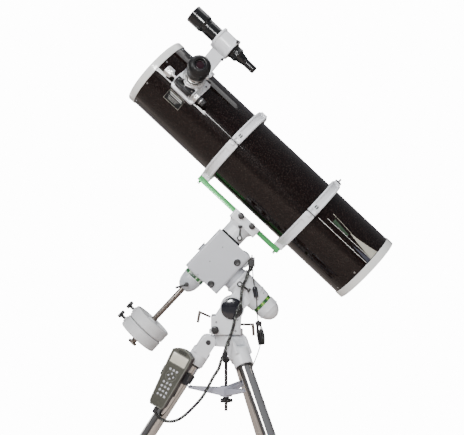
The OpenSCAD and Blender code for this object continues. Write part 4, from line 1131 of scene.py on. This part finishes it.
# ---- Stage: floor, world and lights ----
bpy.ops.mesh.primitive_plane_add(size=400, location=(0, 0, -0.0005))
floor = bpy.context.object
floor.name = "floor"
FLOOR = material("floor_white", (0.42, 0.34, 0.29), 0.8, shade=0.005, grain=3, bump=0, spec=0.1)
FLOOR.node_tree.nodes["Principled BSDF"].inputs["Emission Color"].default_value = (1, 1, 1, 1)
FLOOR.node_tree.nodes["Principled BSDF"].inputs["Emission Strength"].default_value = 0.2
floor_nodes, floor_links = FLOOR.node_tree.nodes, FLOOR.node_tree.links
bright = floor_nodes.new("ShaderNodeEmission")
bright.inputs["Strength"].default_value = 14
eye = floor_nodes.new("ShaderNodeLightPath")
floor_mix = floor_nodes.new("ShaderNodeMixShader")
floor_mix.inputs[0].default_value = 0
floor_links.new(eye.outputs["Is Camera Ray"], floor_mix.inputs[0])
floor_links.new(floor_nodes["Principled BSDF"].outputs[0], floor_mix.inputs[1])
floor_links.new(bright.outputs[0], floor_mix.inputs[2])
floor_links.new(floor_mix.outputs[0], floor_nodes["Material Output"].inputs["Surface"])
floor.data.materials.append(FLOOR)

world = bpy.data.worlds.new("studio")
bpy.context.scene.world = world
world.use_nodes = True
wn, wl = world.node_tree.nodes, world.node_tree.links
direction = wn.new("ShaderNodeTexCoord")
split_shade = wn.new("ShaderNodeSeparateXYZ")
wl.new(direction.outputs["Generated"], split_shade.inputs[0])
height = wn.new("ShaderNodeMapRange")
height.inputs["From Min"].default_value = -0.1
height.inputs["From Max"].default_value = 1.0
wl.new(split_shade.outputs["Z"], height.inputs["Value"])
glow = wn.new("ShaderNodeValToRGB")
glow.color_ramp.elements[0].color = (0.06, 0.048, 0.042, 1)
glow.color_ramp.elements[1].color = (0.38, 0.40, 0.44, 1)
wl.new(height.outputs[0], glow.inputs["Fac"])
wl.new(glow.outputs["Color"], wn["Background"].inputs["Color"])
backdrop = wn.new("ShaderNodeBackground")
backdrop.inputs["Color"].default_value = (1, 1, 1, 1)
backdrop.inputs["Strength"].default_value = 14
rays = wn.new("ShaderNodeLightPath")
either = wn.new("ShaderNodeMixShader")
wl.new(rays.outputs["Is Camera Ray"], either.inputs[0])
wl.new(wn["Background"].outputs[0], either.inputs[1])
wl.new(backdrop.outputs[0], either.inputs[2])
wl.new(either.outputs[0], wn["World Output"].inputs["Surface"])


def soft_light(name, place, aim, size, power, color=(1, 1, 1)):
    data = bpy.data.lights.new(name, "AREA")
    data.shape = "RECTANGLE"
    data.size, data.size_y = size
    data.energy = power
    data.color = color
    o = bpy.data.objects.new(name, data)
    bpy.context.collection.objects.link(o)
    o.location = place
    o.rotation_euler = (Vector(aim) - Vector(place)).to_track_quat("-Z", "Y").to_euler()
    return o


soft_light("key", (-2.0, -2.7, 3.0), (0, 0, 0.9), (1.3, 1.3), 92)
soft_light("fill", (2.7, -2.3, 1.5), (0.1, 0, 0.8), (0.9, 2.0), 14, (1.0, 0.97, 0.94))
soft_light("top", (0.2, 0.3, 3.6), (0, 0, 0.9), (2.4, 2.4), 45)
soft_light("rim", (-2.4, 1.8, 1.2), (0, 0, 0.9), (0.7, 2.2), 22)
along = (Matrix.Rotation(radians(43.2), 4, "Y") @ Matrix.Rotation(radians(77), 4, "X")).to_euler()
soft_light("strip", (-0.32, -3.8, 2.02), (0, 0, 1), (1.15, 0.12), 34).rotation_euler = along
soft_light("strip_front", (-0.34, -3.8, 2.04), (0, 0, 1), (0.46, 0.85), 80).rotation_euler = along
